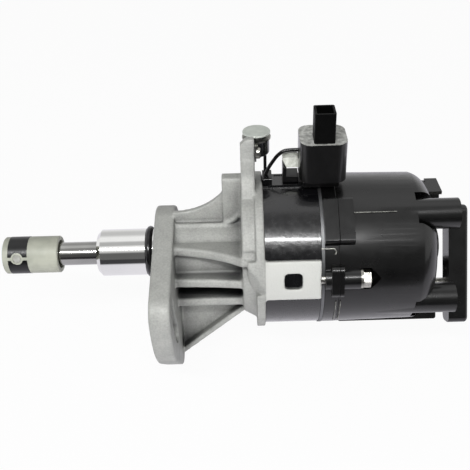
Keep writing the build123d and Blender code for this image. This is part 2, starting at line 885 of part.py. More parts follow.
def make_cap():
    """The cap: wall, four towers, centre boss, screw lugs, raised block and rib."""
    left = cover_right + joint_gap
    cap = cap_shell()
    cap = cap + bar_x(cap_crown_x - cut_over, cap_boss_x, cap_boss_r)
    for index in range(tower_count):
        y, z = spoke(tower_first_turn + tower_turn * index, tower_pitch_r)
        cap = cap + bar_x(tower_root_x, tower_x, tower_r, y, z)
    y, z = spoke(tower_first_turn + tower_turn * (hood_turn - 1), tower_pitch_r)
    hood_right = hood_left + hood_len
    cap = cap + block(hood_left, hood_right, hood_near, hood_near + hood_w, hood_z - hood_t, hood_z)
    cap = cap + block(hood_left + hood_t, hood_right - hood_t, hood_near + hood_t, hood_near + hood_w - hood_t,
                      z, hood_z - hood_t / 2)
    fin = block(fin_left, fin_right, -fin_out_r, -fin_in_r, -fin_w / 2, fin_w / 2)
    fin = fillet(fin.edges().filter_by(Axis.Z).group_by(Axis.Y)[0], block_round)
    cap = cap + turned(fin, fin_turn)
    cap = cap + raised_block(left, block_right)
    for lug in clamp_pair(screw_lug(left, left + lug_cap_w)):
        cap = cap + lug
    for boss in clamp_pair(bar_x(left, boss_right, boss_r, -screw_pitch_r)):
        cap = cap + boss
    for y, z in leg_places():
        cap = cap + bar_x(cap_crown_x - 2 * cap_wall, leg_pad_x, leg_pad_r, y, z)
    inner_r = cap_r - cap_wall
    chamber = bar_x(left - cut_over, cap_inside_x, inner_r)
    backing_right = pocket_right + pocket_cone + cap_wall / 2
    for backing in clamp_pair(bar_x(left, backing_right, pocket_r + cap_wall / 2, -screw_pitch_r)):
        chamber = chamber - backing
    for index in range(tower_count):
        y, z = spoke(tower_first_turn + tower_turn * index, tower_pitch_r)
        chamber = chamber - bar_x(post_left, cap_inside_x, terminal_r + cap_wall / 2, y, z)
    chamber = chamber - bar_x(holder_left, cap_inside_x, holder_r)
    cap = cap - chamber
    for index in range(tower_count):
        y, z = spoke(tower_first_turn + tower_turn * index, tower_pitch_r)
        cap = cap - ring_x(tower_groove_x, cap_crown_x + cut_over, tower_groove_r, tower_r, y, z)
        cap = cap - bar_x(tower_floor_x, tower_x + cut_over, tower_bore_r, y, z)
        cap = cap - bar_x(terminal_left - cut_over, tower_floor_x + cut_over, terminal_r + seat_gap, y, z)
    cap = cap - bar_x(holder_left - cut_over, centre_left, brush_r + brush_gap)
    cap = cap - bar_x(centre_left - seat_gap, centre_right + seat_gap, centre_terminal_r + seat_gap)
    for hole in clamp_pair(bar_x(left - cut_over, boss_right + cut_over, m5_r + free_gap, -screw_pitch_r)):
        cap = cap - hole
    for pocket in clamp_pair(screw_pocket()):
        cap = cap - pocket
    thread_left = bar_right - m4_head_t - bar_screw_len - cut_over
    for y, z in leg_places():
        cap = cap - bar_x(thread_left, leg_pad_x + cut_over, m4_r + thread_gap, y, z)
    return cap


def leg_places():
    """Where the retainer's two legs stand, as (y, z)."""
    places = []
    for reach in (leg_high, leg_low):
        y, z = spoke(bar_turn, reach)
        places.append((bar_centre_y + y, bar_centre_z + z))
    return places


def make_terminals():
    """The four tower terminals."""
    posts = []
    for index in range(tower_count):
        y, z = spoke(tower_first_turn + tower_turn * index, tower_pitch_r)
        post = bar_x(terminal_left, tower_floor_x, terminal_r, y, z)
        posts.append(chamfer(post.edges().group_by(Axis.X)[0], terminal_r / 4))
    return posts


def make_brush():
    """The carbon brush on the shaft line."""
    brush = bar_x(brush_left, brush_right, brush_r)
    return fillet(brush.edges().group_by(Axis.X)[0], brush_r / 3)


def make_spring():
    """The brush spring, a short coil between the brush and its terminal."""
    coil_r = brush_r - 2 * spring_wire_r
    height = spring_len - 2 * spring_wire_r - 2 * seat_gap
    path = Helix(pitch=height / spring_turns, height=height, radius=coil_r)
    section = Plane(origin=path @ 0, z_dir=path % 0) * Circle(spring_wire_r)
    coil = sweep(section, path=path, is_frenet=True)
    return Pos(spring_left + spring_wire_r + seat_gap, 0, 0) * Rot(Y=90) * coil


def make_centre_terminal():
    """The contact disc behind the brush spring."""
    return bar_x(centre_left, centre_right, centre_terminal_r)


def make_cap_screws():
    """The two flanged hexagon screws that clamp the cap."""
    screws = []
    washer_left = boss_right + seat_gap
    head_left = washer_left + m5_washer_t
    screw = bar_x(screw_tip_x, head_left, m5_r, -screw_pitch_r)
    screw = screw + bar_x(washer_left, head_left, m5_washer_r, -screw_pitch_r)
    hexagon = Pos(-screw_pitch_r, 0) * RegularPolygon(m5_hex_r, 6)
    head = across(hexagon, head_left - seat_gap, head_left + m5_head_t)
    screw = screw + head
    recess = bar_x(head_left + m5_head_t / 2, head_left + m5_head_t + cut_over, m5_r, -screw_pitch_r)
    for turned_screw in clamp_pair(screw - recess):
        screws.append(turned_screw)
    return screws


def make_retainer_bar():
    """The bar across the cap's end, with its screw holes."""
    bar = Pos(bar_mid, 0, 0) * Box(bar_t, bar_len, bar_depth)
    bar = fillet(bar.edges().filter_by(Axis.X), bar_round)
    bar = fillet(bar.edges().group_by(Axis.X)[-1], bar_round / 2)
    bar = Pos(0, bar_centre_y, bar_centre_z) * turned(bar, bar_turn)
    for y, z in leg_places():
        bar = bar - bar_x(bar_left - cut_over, bar_right + cut_over, m4_r + running_gap, y, z)
        bar = bar - bar_x(bar_right - m4_head_t, bar_right + cut_over, m4_head_r + free_gap, y, z)
    return bar


def make_bar_legs():
    """The two sleeves that hold the bar off the cap."""
    left = leg_pad_x + seat_gap
    right = bar_left - seat_gap
    return [ring_x(left, right, leg_r, m4_r + running_gap, y, z) for y, z in leg_places()]


def make_bar_screws():
    """The two screws through the retainer bar."""
    head_left = bar_right - m4_head_t + seat_gap
    tip = head_left - bar_screw_len
    return [pan_screw(head_left, m4_r, m4_head_r, m4_head_t * 0.8, tip, y, z) for y, z in leg_places()]


def make_shaft():
    """The drive shaft, with a circlip groove."""
    left = dog_left + dog_slot_depth + cut_over
    shaft = bar_x(left, shaft_right, shaft_r)
    shaft = chamfer(shaft.edges().filter_by(GeomType.CIRCLE), shaft_chamfer)
    groove_x = bearing_right + seat_gap
    shaft = shaft - ring_x(groove_x, groove_x + circlip_w, shaft_r + cut_over, shaft_r - circlip_depth)
    return shaft - cross_hole()


def cross_hole():
    """The hole for the coupling pin."""
    hole = Cylinder(pin_hole_r, 2 * sleeve_r + 2 * cut_over, rotation=(90, 0, 0))
    return turned(Pos(pin_x, 0, 0) * hole, pin_turn)


def make_circlip():
    """The circlip that locates the shaft in its bearing."""
    left = bearing_right + 2 * seat_gap
    clip = ring_x(left, left + circlip_w - 2 * seat_gap, circlip_r, shaft_r - circlip_depth + seat_gap)
    opening = block(left - cut_over, left + circlip_w + cut_over, -circlip_r - cut_over, 0, -circlip_w, circlip_w)
    return clip - opening


def make_sleeve():
    """The white coupling sleeve on the shaft's drive end."""
    sleeve = bar_x(sleeve_left, sleeve_right, sleeve_r)
    sleeve = chamfer(sleeve.edges().filter_by(GeomType.CIRCLE), shaft_chamfer / 2)
    sleeve = sleeve - bar_x(sleeve_left - cut_over, sleeve_chamber_right, sleeve_chamber_r)
    sleeve = sleeve - bar_x(sleeve_left, sleeve_right + cut_over, shaft_r + seat_gap)
    sleeve = sleeve - bar_x(sleeve_right - sleeve_counterbore_depth, sleeve_right + cut_over, sleeve_counterbore_r)
    groove = ring_x(band_left - seat_gap, band_left + band_w + seat_gap, sleeve_r + cut_over, sleeve_r - band_t)
    half = band_split / 2
    bridge = block(band_left - cut_over, band_left + band_w + cut_over, -sleeve_r - cut_over, 0, -half, half)
    eye = Pos(pin_x, 0, 0) * Rot(X=90) * Cylinder(band_eye_r - seat_gap, sleeve_r + cut_over,
                                                  align=(Align.CENTER, Align.CENTER, Align.MIN))
    sleeve = sleeve - (groove - turned(bridge + eye, pin_turn))
    side_hole = Pos(sleeve_hole_x, 0, -sleeve_r) * Cylinder(sleeve_hole_r, sleeve_r / 2)
    return sleeve - cross_hole() - side_hole


def make_band():
    """The black clip band round the sleeve, split where the pin comes through."""
    band = ring_x(band_left, band_left + band_w, sleeve_r + band_t / 8, sleeve_r - band_t + seat_gap)
    half = band_split / 2 + seat_gap
    split = block(band_left - cut_over, band_left + band_w + cut_over, -sleeve_r - cut_over, 0, -half, half)
    eye = Pos(pin_x, 0, 0) * Rot(X=90) * Cylinder(band_eye_r, sleeve_r + cut_over,
                                                  align=(Align.CENTER, Align.CENTER, Align.MIN))
    far_eye = turned(eye, half_turn)
    return band - turned(split + eye + far_eye, pin_turn)


def make_pin():
    """The cross pin of the coupling."""
    pin = Cylinder(pin_r, 2 * sleeve_r + seat_gap, rotation=(90, 0, 0))
    pin = chamfer(pin.edges().filter_by(GeomType.CIRCLE), pin_r / 6)
    return turned(Pos(pin_x, 0, 0) * pin, pin_turn)


def make_dog():
    """The steel drive dog with its slot, pinned inside the sleeve."""
    dog = ring_x(dog_left, dog_right, sleeve_chamber_r - seat_gap, shaft_r + seat_gap)
    dog = dog + bar_x(dog_left, dog_left + dog_slot_depth + cut_over - seat_gap, sleeve_chamber_r - seat_gap)
    slot = block(dog_left - cut_over, dog_left + dog_slot_depth, -dog_slot_w / 2, dog_slot_w / 2,
                 -sleeve_r, sleeve_r)
    return dog - turned(slot, pin_turn) - cross_hole()


def make_rotor():
    """The rotor arm moulding."""
    rotor = bar_x(rotor_left, rotor_right, rotor_hub_r)
    arm = block(rotor_arm_left, rotor_right, -rotor_arm_len, rotor_tail_len, -rotor_arm_w / 2, rotor_arm_w / 2)
    arm = arm & bar_x(rotor_arm_left - cut_over, rotor_right + cut_over, rotor_arm_len)
    rotor = rotor + turned(fillet(arm.edges().filter_by(Axis.X), rib_round), tower_first_turn)
    rotor = rotor - bar_x(rotor_left - cut_over, shaft_right + seat_gap, shaft_r + seat_gap)
    screw_x = (rotor_left + rotor_arm_left) / 2
    hole = Pos(screw_x, 0, 0) * Cylinder(m4_r + thread_gap, 2 * rotor_hub_r,
                                         align=(Align.CENTER, Align.CENTER, Align.MIN))
    rivet = bar_x(rotor_arm_left, rotor_right + cut_over, m3_r + thread_gap, -rotor_hub_r - m3_head_r, 0)
    return rotor - hole - turned(rivet, tower_first_turn)


def make_blade():
    """The rotor's contact blade and its rivet."""
    left = rotor_right + seat_gap
    blade = block(left, blade_right, -blade_len, blade_tail, -blade_w / 2, blade_w / 2)
    blade = blade & bar_x(left - cut_over, blade_right + cut_over, blade_len)
    rivet = bar_x(rotor_arm_left + cut_over, blade_right, m3_r, -rotor_hub_r - m3_head_r, 0)
    return turned(blade + rivet, tower_first_turn)


def make_rotor_screw():
    """The grub screw that locks the rotor to the shaft."""
    screw_x = (rotor_left + rotor_arm_left) / 2
    low = shaft_r + 2 * seat_gap
    screw = bar_z(low, rotor_hub_r + seat_gap, m4_r, screw_x)
    recess = block(screw_x - m4_r, screw_x + m4_r, -m3_r / 3, m3_r / 3, rotor_hub_r - m3_r / 2,
                   rotor_hub_r + cut_over)
    return screw - recess


def make_connector():
    """The plug: foot, neck, eight-sided collar and the socket that stands on it."""
    foot = block(foot_left, pillar_right - joint_gap, -neck_half_y / 2 + cut_over, neck_half_y, pad_z + seat_gap,
                 neck_low + cut_over)
    neck = block(neck_left, neck_right, -neck_half_y, neck_half_y, neck_low + free_gap, collar_low + cut_over)
    outline = RegularPolygon(collar_across / 2, 8, major_radius=False, rotation=half_turn / 8)
    collar = Pos(plug_x, 0, collar_low) * extrude(outline, amount=collar_top - collar_low)
    collar = fillet(collar.edges().filter_by(Axis.Z), collar_round)
    socket = block(socket_left, socket_left + socket_w, socket_near, socket_near + socket_len, collar_top - cut_over,
                   socket_top)
    socket = fillet(socket.edges().filter_by(Axis.Z), collar_round)
    plug = foot + neck + collar + socket
    well = block(socket_left + socket_wall, socket_left + socket_w - socket_wall, socket_near + socket_wall,
                 socket_near + socket_len - socket_wall, socket_floor, socket_top + cut_over)
    plug = plug - well
    for blade in pin_blades(seat_gap):
        plug = plug - blade
    return plug


def pin_blades(gap):
    """The plug's contact blades, grown by a gap for their slots."""
    middle_x = socket_left + socket_w / 2
    middle_y = socket_near + socket_len / 2
    blades = []
    for index in range(pin_count):
        y = middle_y + (index - (pin_count - 1) / 2) * pin_pitch
        blades.append(block(middle_x - pin_blade_w / 2 - gap, middle_x + pin_blade_w / 2 + gap,
                            y - pin_blade_t / 2 - gap, y + pin_blade_t / 2 + gap,
                            collar_low + cut_over - gap, pin_blade_top + gap))
    return blades


def make_can():
    """The condenser's metal can with its rolled head."""
    can = bar_z(can_low + can_r, can_high, can_r, can_x, can_y)
    can = can + bar_z(can_low + can_r, can_head_z, can_neck_r, can_x, can_y)
    head = bar_z(can_head_z, can_head_z + can_head_t, can_head_r, can_x, can_y)
    head = fillet(head.edges().group_by(Axis.Z)[-1], can_head_t / 3)
    return can + head


def make_can_base():
    """The condenser's black end."""
    base = bar_z(can_low, can_low + can_r - seat_gap, can_r, can_x, can_y)
    base = fillet(base.edges().group_by(Axis.Z)[0], can_head_t)
    return base - bar_z(can_low - cut_over, can_low + can_r / 2, short_lead_r + seat_gap, short_lead_x(), can_y)


def short_lead_x():
    """Where the condenser's own lead comes down."""
    return grommet_left + grommet_w / 2 - short_lead_r


def make_strap():
    """The bracket that holds the condenser to the lug."""
    low = can_high + seat_gap
    ring = bar_z(low, low + strap_t, strap_r, can_x, can_y)
    ring = ring - bar_z(low - cut_over, low + strap_t + cut_over, can_neck_r + seat_gap, can_x, can_y)
    leg_left = lug_right + seat_gap
    leg_far = can_y - can_r - joint_gap
    tongue = block(leg_left, leg_left + strap_t + strap_t, lug_near + cut_over, can_y - can_neck_r - seat_gap, low,
                   low + strap_t)
    leg = block(leg_left, leg_left + strap_t, leg_far - strap_w / 2 - strap_t, leg_far, strap_low, low + strap_t)
    bracket = ring + tongue + leg
    return bracket - bar_x(leg_left - cut_over, leg_left + strap_t + cut_over, m3_r + thread_gap, strap_screw_y,
                           strap_screw_z)


def make_strap_screw():
    """The screw that holds the strap to the lug."""
    head_left = lug_right + strap_t + 2 * seat_gap
    return pan_screw(head_left, m3_r, m3_head_r, m3_head_t, lug_right - 3 * m3_r, strap_screw_y, strap_screw_z)


def make_grommet():
    """The rubber grommet that takes both leads into the body."""
    grommet = block(grommet_left, grommet_left + grommet_w, lead_y - grommet_half_y, lead_y + grommet_half_y,
                    grommet_low, grommet_z)
    grommet = fillet(grommet.edges().filter_by(Axis.X).group_by(Axis.Z)[-1], short_lead_r)
    socket = bar_z(grommet_z - grommet_hold, grommet_z + cut_over, short_lead_r + seat_gap, short_lead_x(), can_y)
    return grommet - socket - lead_sweep(lead_r + seat_gap)


def make_short_lead():
    """The condenser's lead, straight down into the grommet."""
    low = grommet_z - grommet_hold + seat_gap
    high = can_low + can_r / 2 - seat_gap
    return bar_z(low, high, short_lead_r, short_lead_x(), can_y)


def corner_radii(points):
    """The largest tangent arc that each corner of a route allows."""
    radii = []
    for before, corner, after in zip(points, points[1:], points[2:]):
        run_in = Vector(*corner) - Vector(*before)
        run_out = Vector(*after) - Vector(*corner)
        turn = math.radians(run_in.get_angle(run_out))
        radii.append(0.45 * min(run_in.length, run_out.length) / math.tan(turn / 2))
    return radii


def lead_sweep(radius):
    """The plug lead's route, swept with a round section."""
    points = [(x, lead_y, z) for x, z in lead_route]
    path = FilletPolyline(*points, radius=corner_radii(points))
    section = Plane(origin=path @ 0, z_dir=path % 0) * Circle(radius)
    return sweep(section, path=path)


def make_lead():
    """The lead from the grommet over the clip to the plug's collar."""
    points = [(x, lead_y, z) for x, z in lead_route]
    print("lead radii", [round(radius, 1) for radius in corner_radii(points)])
    return lead_sweep(lead_r)


def make_clip():
    """The white clip that guides the lead beside the plug."""
    clip = block(clip_left, clip_left + clip_w, clip_near, clip_far, clip_low, clip_top)
    clip = fillet(clip.edges().filter_by(Axis.Y).group_by(Axis.Z)[-1], collar_round)
    groove = block(clip_left - cut_over, clip_left + clip_w + cut_over, lead_y - lead_r - joint_gap,
                   lead_y + lead_r + joint_gap, clip_top - clip_groove_depth, clip_top + cut_over)
    return clip - groove


def make_clip_bracket():
    """The black saddle under the clip."""
    low = pad_z + seat_gap
    saddle = block(bracket_left, bracket_left + bracket_w, clip_near - cut_over, clip_far, low, low + bracket_t)
    horn = block(bracket_left - bracket_horn_w, bracket_left, clip_near - cut_over, clip_far, low, bracket_horn_top)
    return saddle + fillet(horn.edges().filter_by(Axis.Y).group_by(Axis.Z)[-1], bracket_horn_w / 3)


nodes = {
    "housing": make_housing,
    "pilot_journal": make_journal,
    "pilot_seal": make_pilot_seal,
    "shaft_bush": make_shaft_bush,
    "shaft_seal": make_shaft_seal,
    "bearing_outer_race": make_outer_race,
    "bearing_inner_race": make_inner_race,
    "bearing_balls": make_balls,
    "bearing_cage": make_cage,
    "bearing_retainer": make_retainer,
    "retainer_screws": make_retainer_screws,
    "sensor_body": make_sensor_body,
    "pickup_base": make_pickup_base,
    "pickup_head": make_pickup,
    "pickup_screws": make_pickup_screws,
    "signal_plate": make_signal_plate,
    "signal_hub": make_signal_hub,
    "spacer_ring": make_spacer_ring,
    "dust_cover": make_dust_cover,
    "cap": make_cap,
    "cap_terminals": make_terminals,
    "centre_terminal": make_centre_terminal,
    "brush_spring": make_spring,
    "carbon_brush": make_brush,
    "cap_screws": make_cap_screws,
    "retainer_bar": make_retainer_bar,
    "bar_legs": make_bar_legs,
    "bar_screws": make_bar_screws,
    "drive_shaft": make_shaft,
    "shaft_circlip": make_circlip,
    "coupling_sleeve": make_sleeve,
    "coupling_band": make_band,
    "coupling_pin": make_pin,
    "drive_dog": make_dog,
    "rotor_arm": make_rotor,
    "rotor_blade": make_blade,
    "rotor_screw": make_rotor_screw,
    "connector": make_connector,
    "connector_pins": lambda: pin_blades(0.0),
    "condenser_can": make_can,
    "condenser_base": make_can_base,
    "condenser_strap": make_strap,
    "strap_screw": make_strap_screw,
    "lead_grommet": make_grommet,
    "condenser_lead": make_short_lead,
    "plug_lead": make_lead,
    "lead_clip": make_clip,
    "clip_bracket": make_clip_bracket,
}

os.makedirs("parts", exist_ok=True)
for name, build in nodes.items():
    shape = build()
    solids = shape if isinstance(shape, list) else shape.solids()
    solids = [solid for item in solids for solid in item.solids()]
    whole = Compound(children=solids) if len(solids) > 1 else solids[0]
    export_step(whole, f"parts/{name}.step")
    print(name, len(solids), round(sum(solid.volume for solid in solids), 1))
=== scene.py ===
import json
import logging
import math
from dataclasses import dataclass
from enum import Enum

import bmesh
import bpy
from mathutils import Matrix, Vector


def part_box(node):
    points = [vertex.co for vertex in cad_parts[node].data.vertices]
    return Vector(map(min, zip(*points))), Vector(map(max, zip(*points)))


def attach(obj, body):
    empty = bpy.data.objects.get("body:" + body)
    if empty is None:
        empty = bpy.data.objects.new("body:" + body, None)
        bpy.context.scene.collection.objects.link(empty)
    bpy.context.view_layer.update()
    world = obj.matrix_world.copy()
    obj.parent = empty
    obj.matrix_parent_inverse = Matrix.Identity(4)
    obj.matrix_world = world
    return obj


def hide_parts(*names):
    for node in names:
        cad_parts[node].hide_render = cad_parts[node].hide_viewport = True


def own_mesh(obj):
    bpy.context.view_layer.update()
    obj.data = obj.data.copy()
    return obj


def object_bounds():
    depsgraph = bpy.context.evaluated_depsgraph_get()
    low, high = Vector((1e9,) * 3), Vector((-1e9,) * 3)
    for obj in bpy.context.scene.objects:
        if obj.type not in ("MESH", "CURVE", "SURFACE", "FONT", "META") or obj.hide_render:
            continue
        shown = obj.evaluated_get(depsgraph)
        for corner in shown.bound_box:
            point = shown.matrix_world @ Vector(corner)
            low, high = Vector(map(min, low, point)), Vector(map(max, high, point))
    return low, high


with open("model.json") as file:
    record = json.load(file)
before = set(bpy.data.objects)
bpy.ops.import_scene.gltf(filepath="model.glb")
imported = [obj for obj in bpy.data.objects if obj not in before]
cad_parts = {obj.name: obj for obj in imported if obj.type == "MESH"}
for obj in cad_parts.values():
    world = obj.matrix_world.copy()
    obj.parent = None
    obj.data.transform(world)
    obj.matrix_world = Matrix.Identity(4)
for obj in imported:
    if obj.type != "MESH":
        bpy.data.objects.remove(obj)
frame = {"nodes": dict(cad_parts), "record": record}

# Metres in a millimetre
MM = 0.001

# The plain solids' box, taken before any piece is added
CAD_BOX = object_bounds()

# Further from the origin than any piece reaches, for boxes that are open on a side
BEYOND_MM = 200.0

# Points nearer than this are one point, and faces that meet flatter than this are one face
WELD_MM = 0.004
FLAT_DEG = 0.8

# The part of the noise's range from 0 to 1 that runs through a finish's tones and its gloss
TONE_SPAN = (0.32, 0.68)
GLOSS_SPAN = (0.3, 0.7)

# The gloss varies in blotches this many times finer than the tones
GLOSS_FINER = 3

# The roughness of the glassy skin that a polished mould leaves
SKIN_ROUGHNESS = 0.07

# The rigid body that every new piece rides on
CARRIER = "housing"

log = logging.getLogger("distributor")


class PlugZone(Enum):
    """The zones of the plug's housing, each with its place among the piece's materials."""

    COLLAR = 0
    NOSE = 1
    UP_FACING_LIT = 2


def linear(colour: str) -> tuple:
    """Turns an sRGB hex colour to linear light.

    Args:
        colour: Six hex digits.

    Returns:
        Red, green, blue and alpha as linear values.
    """
    parts = [int(colour[at:at + 2], 16) / 255 for at in (0, 2, 4)]
    return tuple(c / 12.92 if c <= 0.04045 else ((c + 0.055) / 1.055) ** 2.4 for c in parts) + (1.0,)


def add_node(tree: bpy.types.NodeTree, kind: str, values: dict = None, links: dict = None,
             **settings: object) -> bpy.types.Node:
    """Adds one node with its settings, values and links.

    Args:
        tree: The node tree that gets it.
        kind: The node's type name without the ShaderNode prefix.
        values: Input name or index to a constant value.
        links: Input name or index to the output socket that feeds it.
        **settings: Attributes of the node itself.

    Returns:
        The node.
    """
    node = tree.nodes.new("ShaderNode" + kind)
    for name, value in settings.items():
        setattr(node, name, value)
    for name, value in (values or {}).items():
        node.inputs[name].default_value = value
    for name, socket in (links or {}).items():
        tree.links.new(socket, node.inputs[name])
    return node


def grain(tree: bpy.types.NodeTree, size_mm: float, detail: float = 2.0,
          stretch: tuple = (1, 1, 1)) -> bpy.types.NodeSocket:
    """A noise pattern of a real size on the object's own coordinates.

    Args:
        tree: The node tree that gets it.
        size_mm: The size of one blotch or grain in millimetres.
        detail: How many finer layers the noise has.
        stretch: How much longer the grains are along X, Y and Z.

    Returns:
        The noise value's socket.
    """
    place = add_node(tree, "TexCoord")
    scale = tuple(1 / (MM * size_mm * s) for s in stretch)
    turned = add_node(tree, "Mapping", {"Scale": scale}, {"Vector": place.outputs["Object"]})
    noise = add_node(tree, "TexNoise", {"Scale": 1.0, "Detail": detail},
                     {"Vector": turned.outputs["Vector"]})
    return noise.outputs["Fac"]


def radius_from_axis(tree: bpy.types.NodeTree) -> tuple:
    """The distance from the shaft's axis and the place along it, both in metres.

    Args:
        tree: The node tree that gets the nodes.

    Returns:
        The radius socket and the X socket.
    """
    place = add_node(tree, "TexCoord")
    split = add_node(tree, "SeparateXYZ", links={"Vector": place.outputs["Object"]})
    flat = add_node(tree, "CombineXYZ", links={"Y": split.outputs["Y"], "Z": split.outputs["Z"]})
    length = add_node(tree, "VectorMath", links={0: flat.outputs["Vector"]}, operation="LENGTH")
    return length.outputs["Value"], split.outputs["X"]


@dataclass(frozen=True)
class Finish:
    """One surface finish; subclasses add what makes theirs special.

    The two tones are the darkest and lightest colour of its slow blotches, the
    roughness pair is the span of its gloss, and the bump is the height of its
    grain in millimetres. The coat is the weight of the glassy skin that a
    polished mould leaves. Real grain of a mould, a drum or a press is finer
    than a tenth of a millimetre, and is drawn coarser here so that it shows.
    """

    name: str
    dark: str
    light: str
    metallic: float = 0.0
    ior: float = 1.5
    roughness: tuple = (0.3, 0.4)
    blotch_mm: float = 12.0
    grain_mm: float = 0.6
    bump_mm: float = 0.01
    coat: float = 0.0

    def build(self) -> bpy.types.Material:
        """Makes the material.

        Returns:
            The material, made once for each name.
        """
        known = bpy.data.materials.get(self.name)
        if known:
            return known
        material = bpy.data.materials.new(self.name)
        material.use_nodes = True
        material.diffuse_color = linear(self.light)
        tree = material.node_tree
        tree.nodes.clear()
        constants = {"Metallic": self.metallic, "IOR": self.ior, "Coat Weight": self.coat,
                     "Coat Roughness": SKIN_ROUGHNESS}
        shader = add_node(tree, "BsdfPrincipled", constants)
        add_node(tree, "OutputMaterial", links={"Surface": shader.outputs["BSDF"]})
        self.dress(tree, shader)
        return material

    def dress(self, tree: bpy.types.NodeTree, shader: bpy.types.Node) -> None:
        """Adds colour, gloss and bump to the shader.

        Args:
            tree: The material's node tree.
            shader: Its Principled shader.
        """
        tone = self.tones(tree, grain(tree, self.blotch_mm))
        tree.links.new(tone, shader.inputs["Base Color"])
        shine = self.gloss(tree, grain(tree, self.blotch_mm / GLOSS_FINER))
        tree.links.new(shine, shader.inputs["Roughness"])
        bumps = self.relief(tree, grain(tree, self.grain_mm, detail=3.0))
        tree.links.new(bumps, shader.inputs["Normal"])

    def tones(self, tree: bpy.types.NodeTree, value: bpy.types.NodeSocket) -> bpy.types.NodeSocket:
        """The base colour between the two tones.

        Args:
            tree: The material's node tree.
            value: The noise value that it follows.

        Returns:
            The colour's socket.
        """
        ramp = add_node(tree, "ValToRGB", links={"Fac": value})
        for stop, place, colour in zip(ramp.color_ramp.elements, TONE_SPAN, (self.dark, self.light)):
            stop.position = place
            stop.color = linear(colour)
        return ramp.outputs["Color"]

    def gloss(self, tree: bpy.types.NodeTree, value: bpy.types.NodeSocket) -> bpy.types.NodeSocket:
        """The roughness between its two ends.

        Args:
            tree: The material's node tree.
            value: The noise value that it follows.

        Returns:
            The roughness's socket.
        """
        ends = {"From Min": GLOSS_SPAN[0], "From Max": GLOSS_SPAN[1], "To Min": self.roughness[0],
                "To Max": self.roughness[1]}
        return add_node(tree, "MapRange", ends, {"Value": value}).outputs["Result"]

    def relief(self, tree: bpy.types.NodeTree, value: bpy.types.NodeSocket) -> bpy.types.NodeSocket:
        """The bumped normal.

        Args:
            tree: The material's node tree.
            value: The noise value that is its height.

        Returns:
            The normal's socket.
        """
        bump = add_node(tree, "Bump", {"Strength": 1.0, "Distance": self.bump_mm * MM}, {"Height": value})
        return bump.outputs["Normal"]


@dataclass(frozen=True)
class Cast(Finish):
    """Sand-blasted die-cast aluminium, turned on the rim and the pillars.

    It looks matt and finely sandy, with slow blotches, and painted shade darkens it in pockets
    and along inner corners. The turned skin is lighter and closer. The grain is coarser than
    real grit, so that it shows.
    """

    speckle_share: float = 0.55
    # Painted shade: the dark tone, how far the hemming-in is felt, and the span over which it fades out
    painted_pocket_shade: str = "2e2f31"
    pocket_shade_reach_mm: float = 12.0
    open_span: tuple = (0.2, 0.85)
    turned: str = "c6c7c3"
    turned_in_mm: float = 38.9
    turned_out_mm: float = 40.2
    turned_from_mm: float = 54.5

    def dress(self, tree: bpy.types.NodeTree, shader: bpy.types.Node) -> None:
        """Adds the blasted skin, the turned skin and painted shade in the pockets.

        Args:
            tree: The material's node tree.
            shader: Its Principled shader.
        """
        sources = {2: grain(tree, self.blotch_mm, detail=4.0), 3: grain(tree, self.grain_mm, detail=2.0)}
        speckle = add_node(tree, "Mix", {0: self.speckle_share}, sources)
        skins = {"Factor": self.on_turned(tree), 6: self.tones(tree, speckle.outputs[0])}
        skin = add_node(tree, "Mix", links=skins, data_type="RGBA")
        skin.inputs[7].default_value = linear(self.turned)
        # Painted shade: the colour darkens towards the dark tone where the surface is hemmed in, in hollows
        # and inner corners
        reach = add_node(tree, "AmbientOcclusion", {"Distance": self.pocket_shade_reach_mm * MM}, samples=6)
        span = {"From Min": self.open_span[0], "From Max": self.open_span[1]}
        open_share = add_node(tree, "MapRange", span, {"Value": reach.outputs["AO"]})
        parts = {"Factor": open_share.outputs["Result"], 7: skin.outputs[2]}
        shaded = add_node(tree, "Mix", links=parts, data_type="RGBA")
        shaded.inputs[6].default_value = linear(self.painted_pocket_shade)
        tree.links.new(shaded.outputs[2], shader.inputs["Base Color"])
        shine = self.gloss(tree, grain(tree, self.blotch_mm / GLOSS_FINER))
        tree.links.new(shine, shader.inputs["Roughness"])
        bumps = self.relief(tree, grain(tree, self.grain_mm, detail=4.0))
        tree.links.new(bumps, shader.inputs["Normal"])

    def on_turned(self, tree: bpy.types.NodeTree) -> bpy.types.NodeSocket:
        """Whether a point lies on the turned rim or a pillar.

        Args:
            tree: The material's node tree.

        Returns:
            The socket of a share that is 0 or 1.
        """
        radius, along = radius_from_axis(tree)
        share = None
        tests = ((radius, self.turned_in_mm, "GREATER_THAN"), (radius, self.turned_out_mm, "LESS_THAN"),
                 (along, self.turned_from_mm, "GREATER_THAN"))
        for value, limit_mm, kind in tests:
            test = add_node(tree, "Math", {1: limit_mm * MM}, {0: value}, operation=kind)
            if share is None:
                share = test
            else:
                share = add_node(tree, "Math", links={0: share.outputs[0], 1: test.outputs[0]},
                                 operation="MULTIPLY")
        return share.outputs[0]


@dataclass(frozen=True)
class Turned(Finish):
    """Ground or turned metal: fine rings round the shaft's axis.

    The rings are coarser than real tool marks, so that they show, and so long
    across the shaft that they close into circles.
    """

    ring_mm: float = 0.3
    ring_length: float = 300.0

    def dress(self, tree: bpy.types.NodeTree, shader: bpy.types.Node) -> None:
        """Adds tones, gloss and the turning rings.

        Args:
            tree: The material's node tree.
            shader: Its Principled shader.
        """
        tree.links.new(self.tones(tree, grain(tree, self.blotch_mm)), shader.inputs["Base Color"])
        rings = grain(tree, self.ring_mm, detail=2.0, stretch=(1, self.ring_length, self.ring_length))
        tree.links.new(self.gloss(tree, rings), shader.inputs["Roughness"])
        tree.links.new(self.relief(tree, rings), shader.inputs["Normal"])


# Die-cast and sand-blasted: matt, sandy, a warm grey
CASTING = Cast("blasted_aluminium", "969794", "b2b3af", metallic=0.12, roughness=(0.46, 0.6),
               blotch_mm=8.0, grain_mm=0.9, bump_mm=0.13)

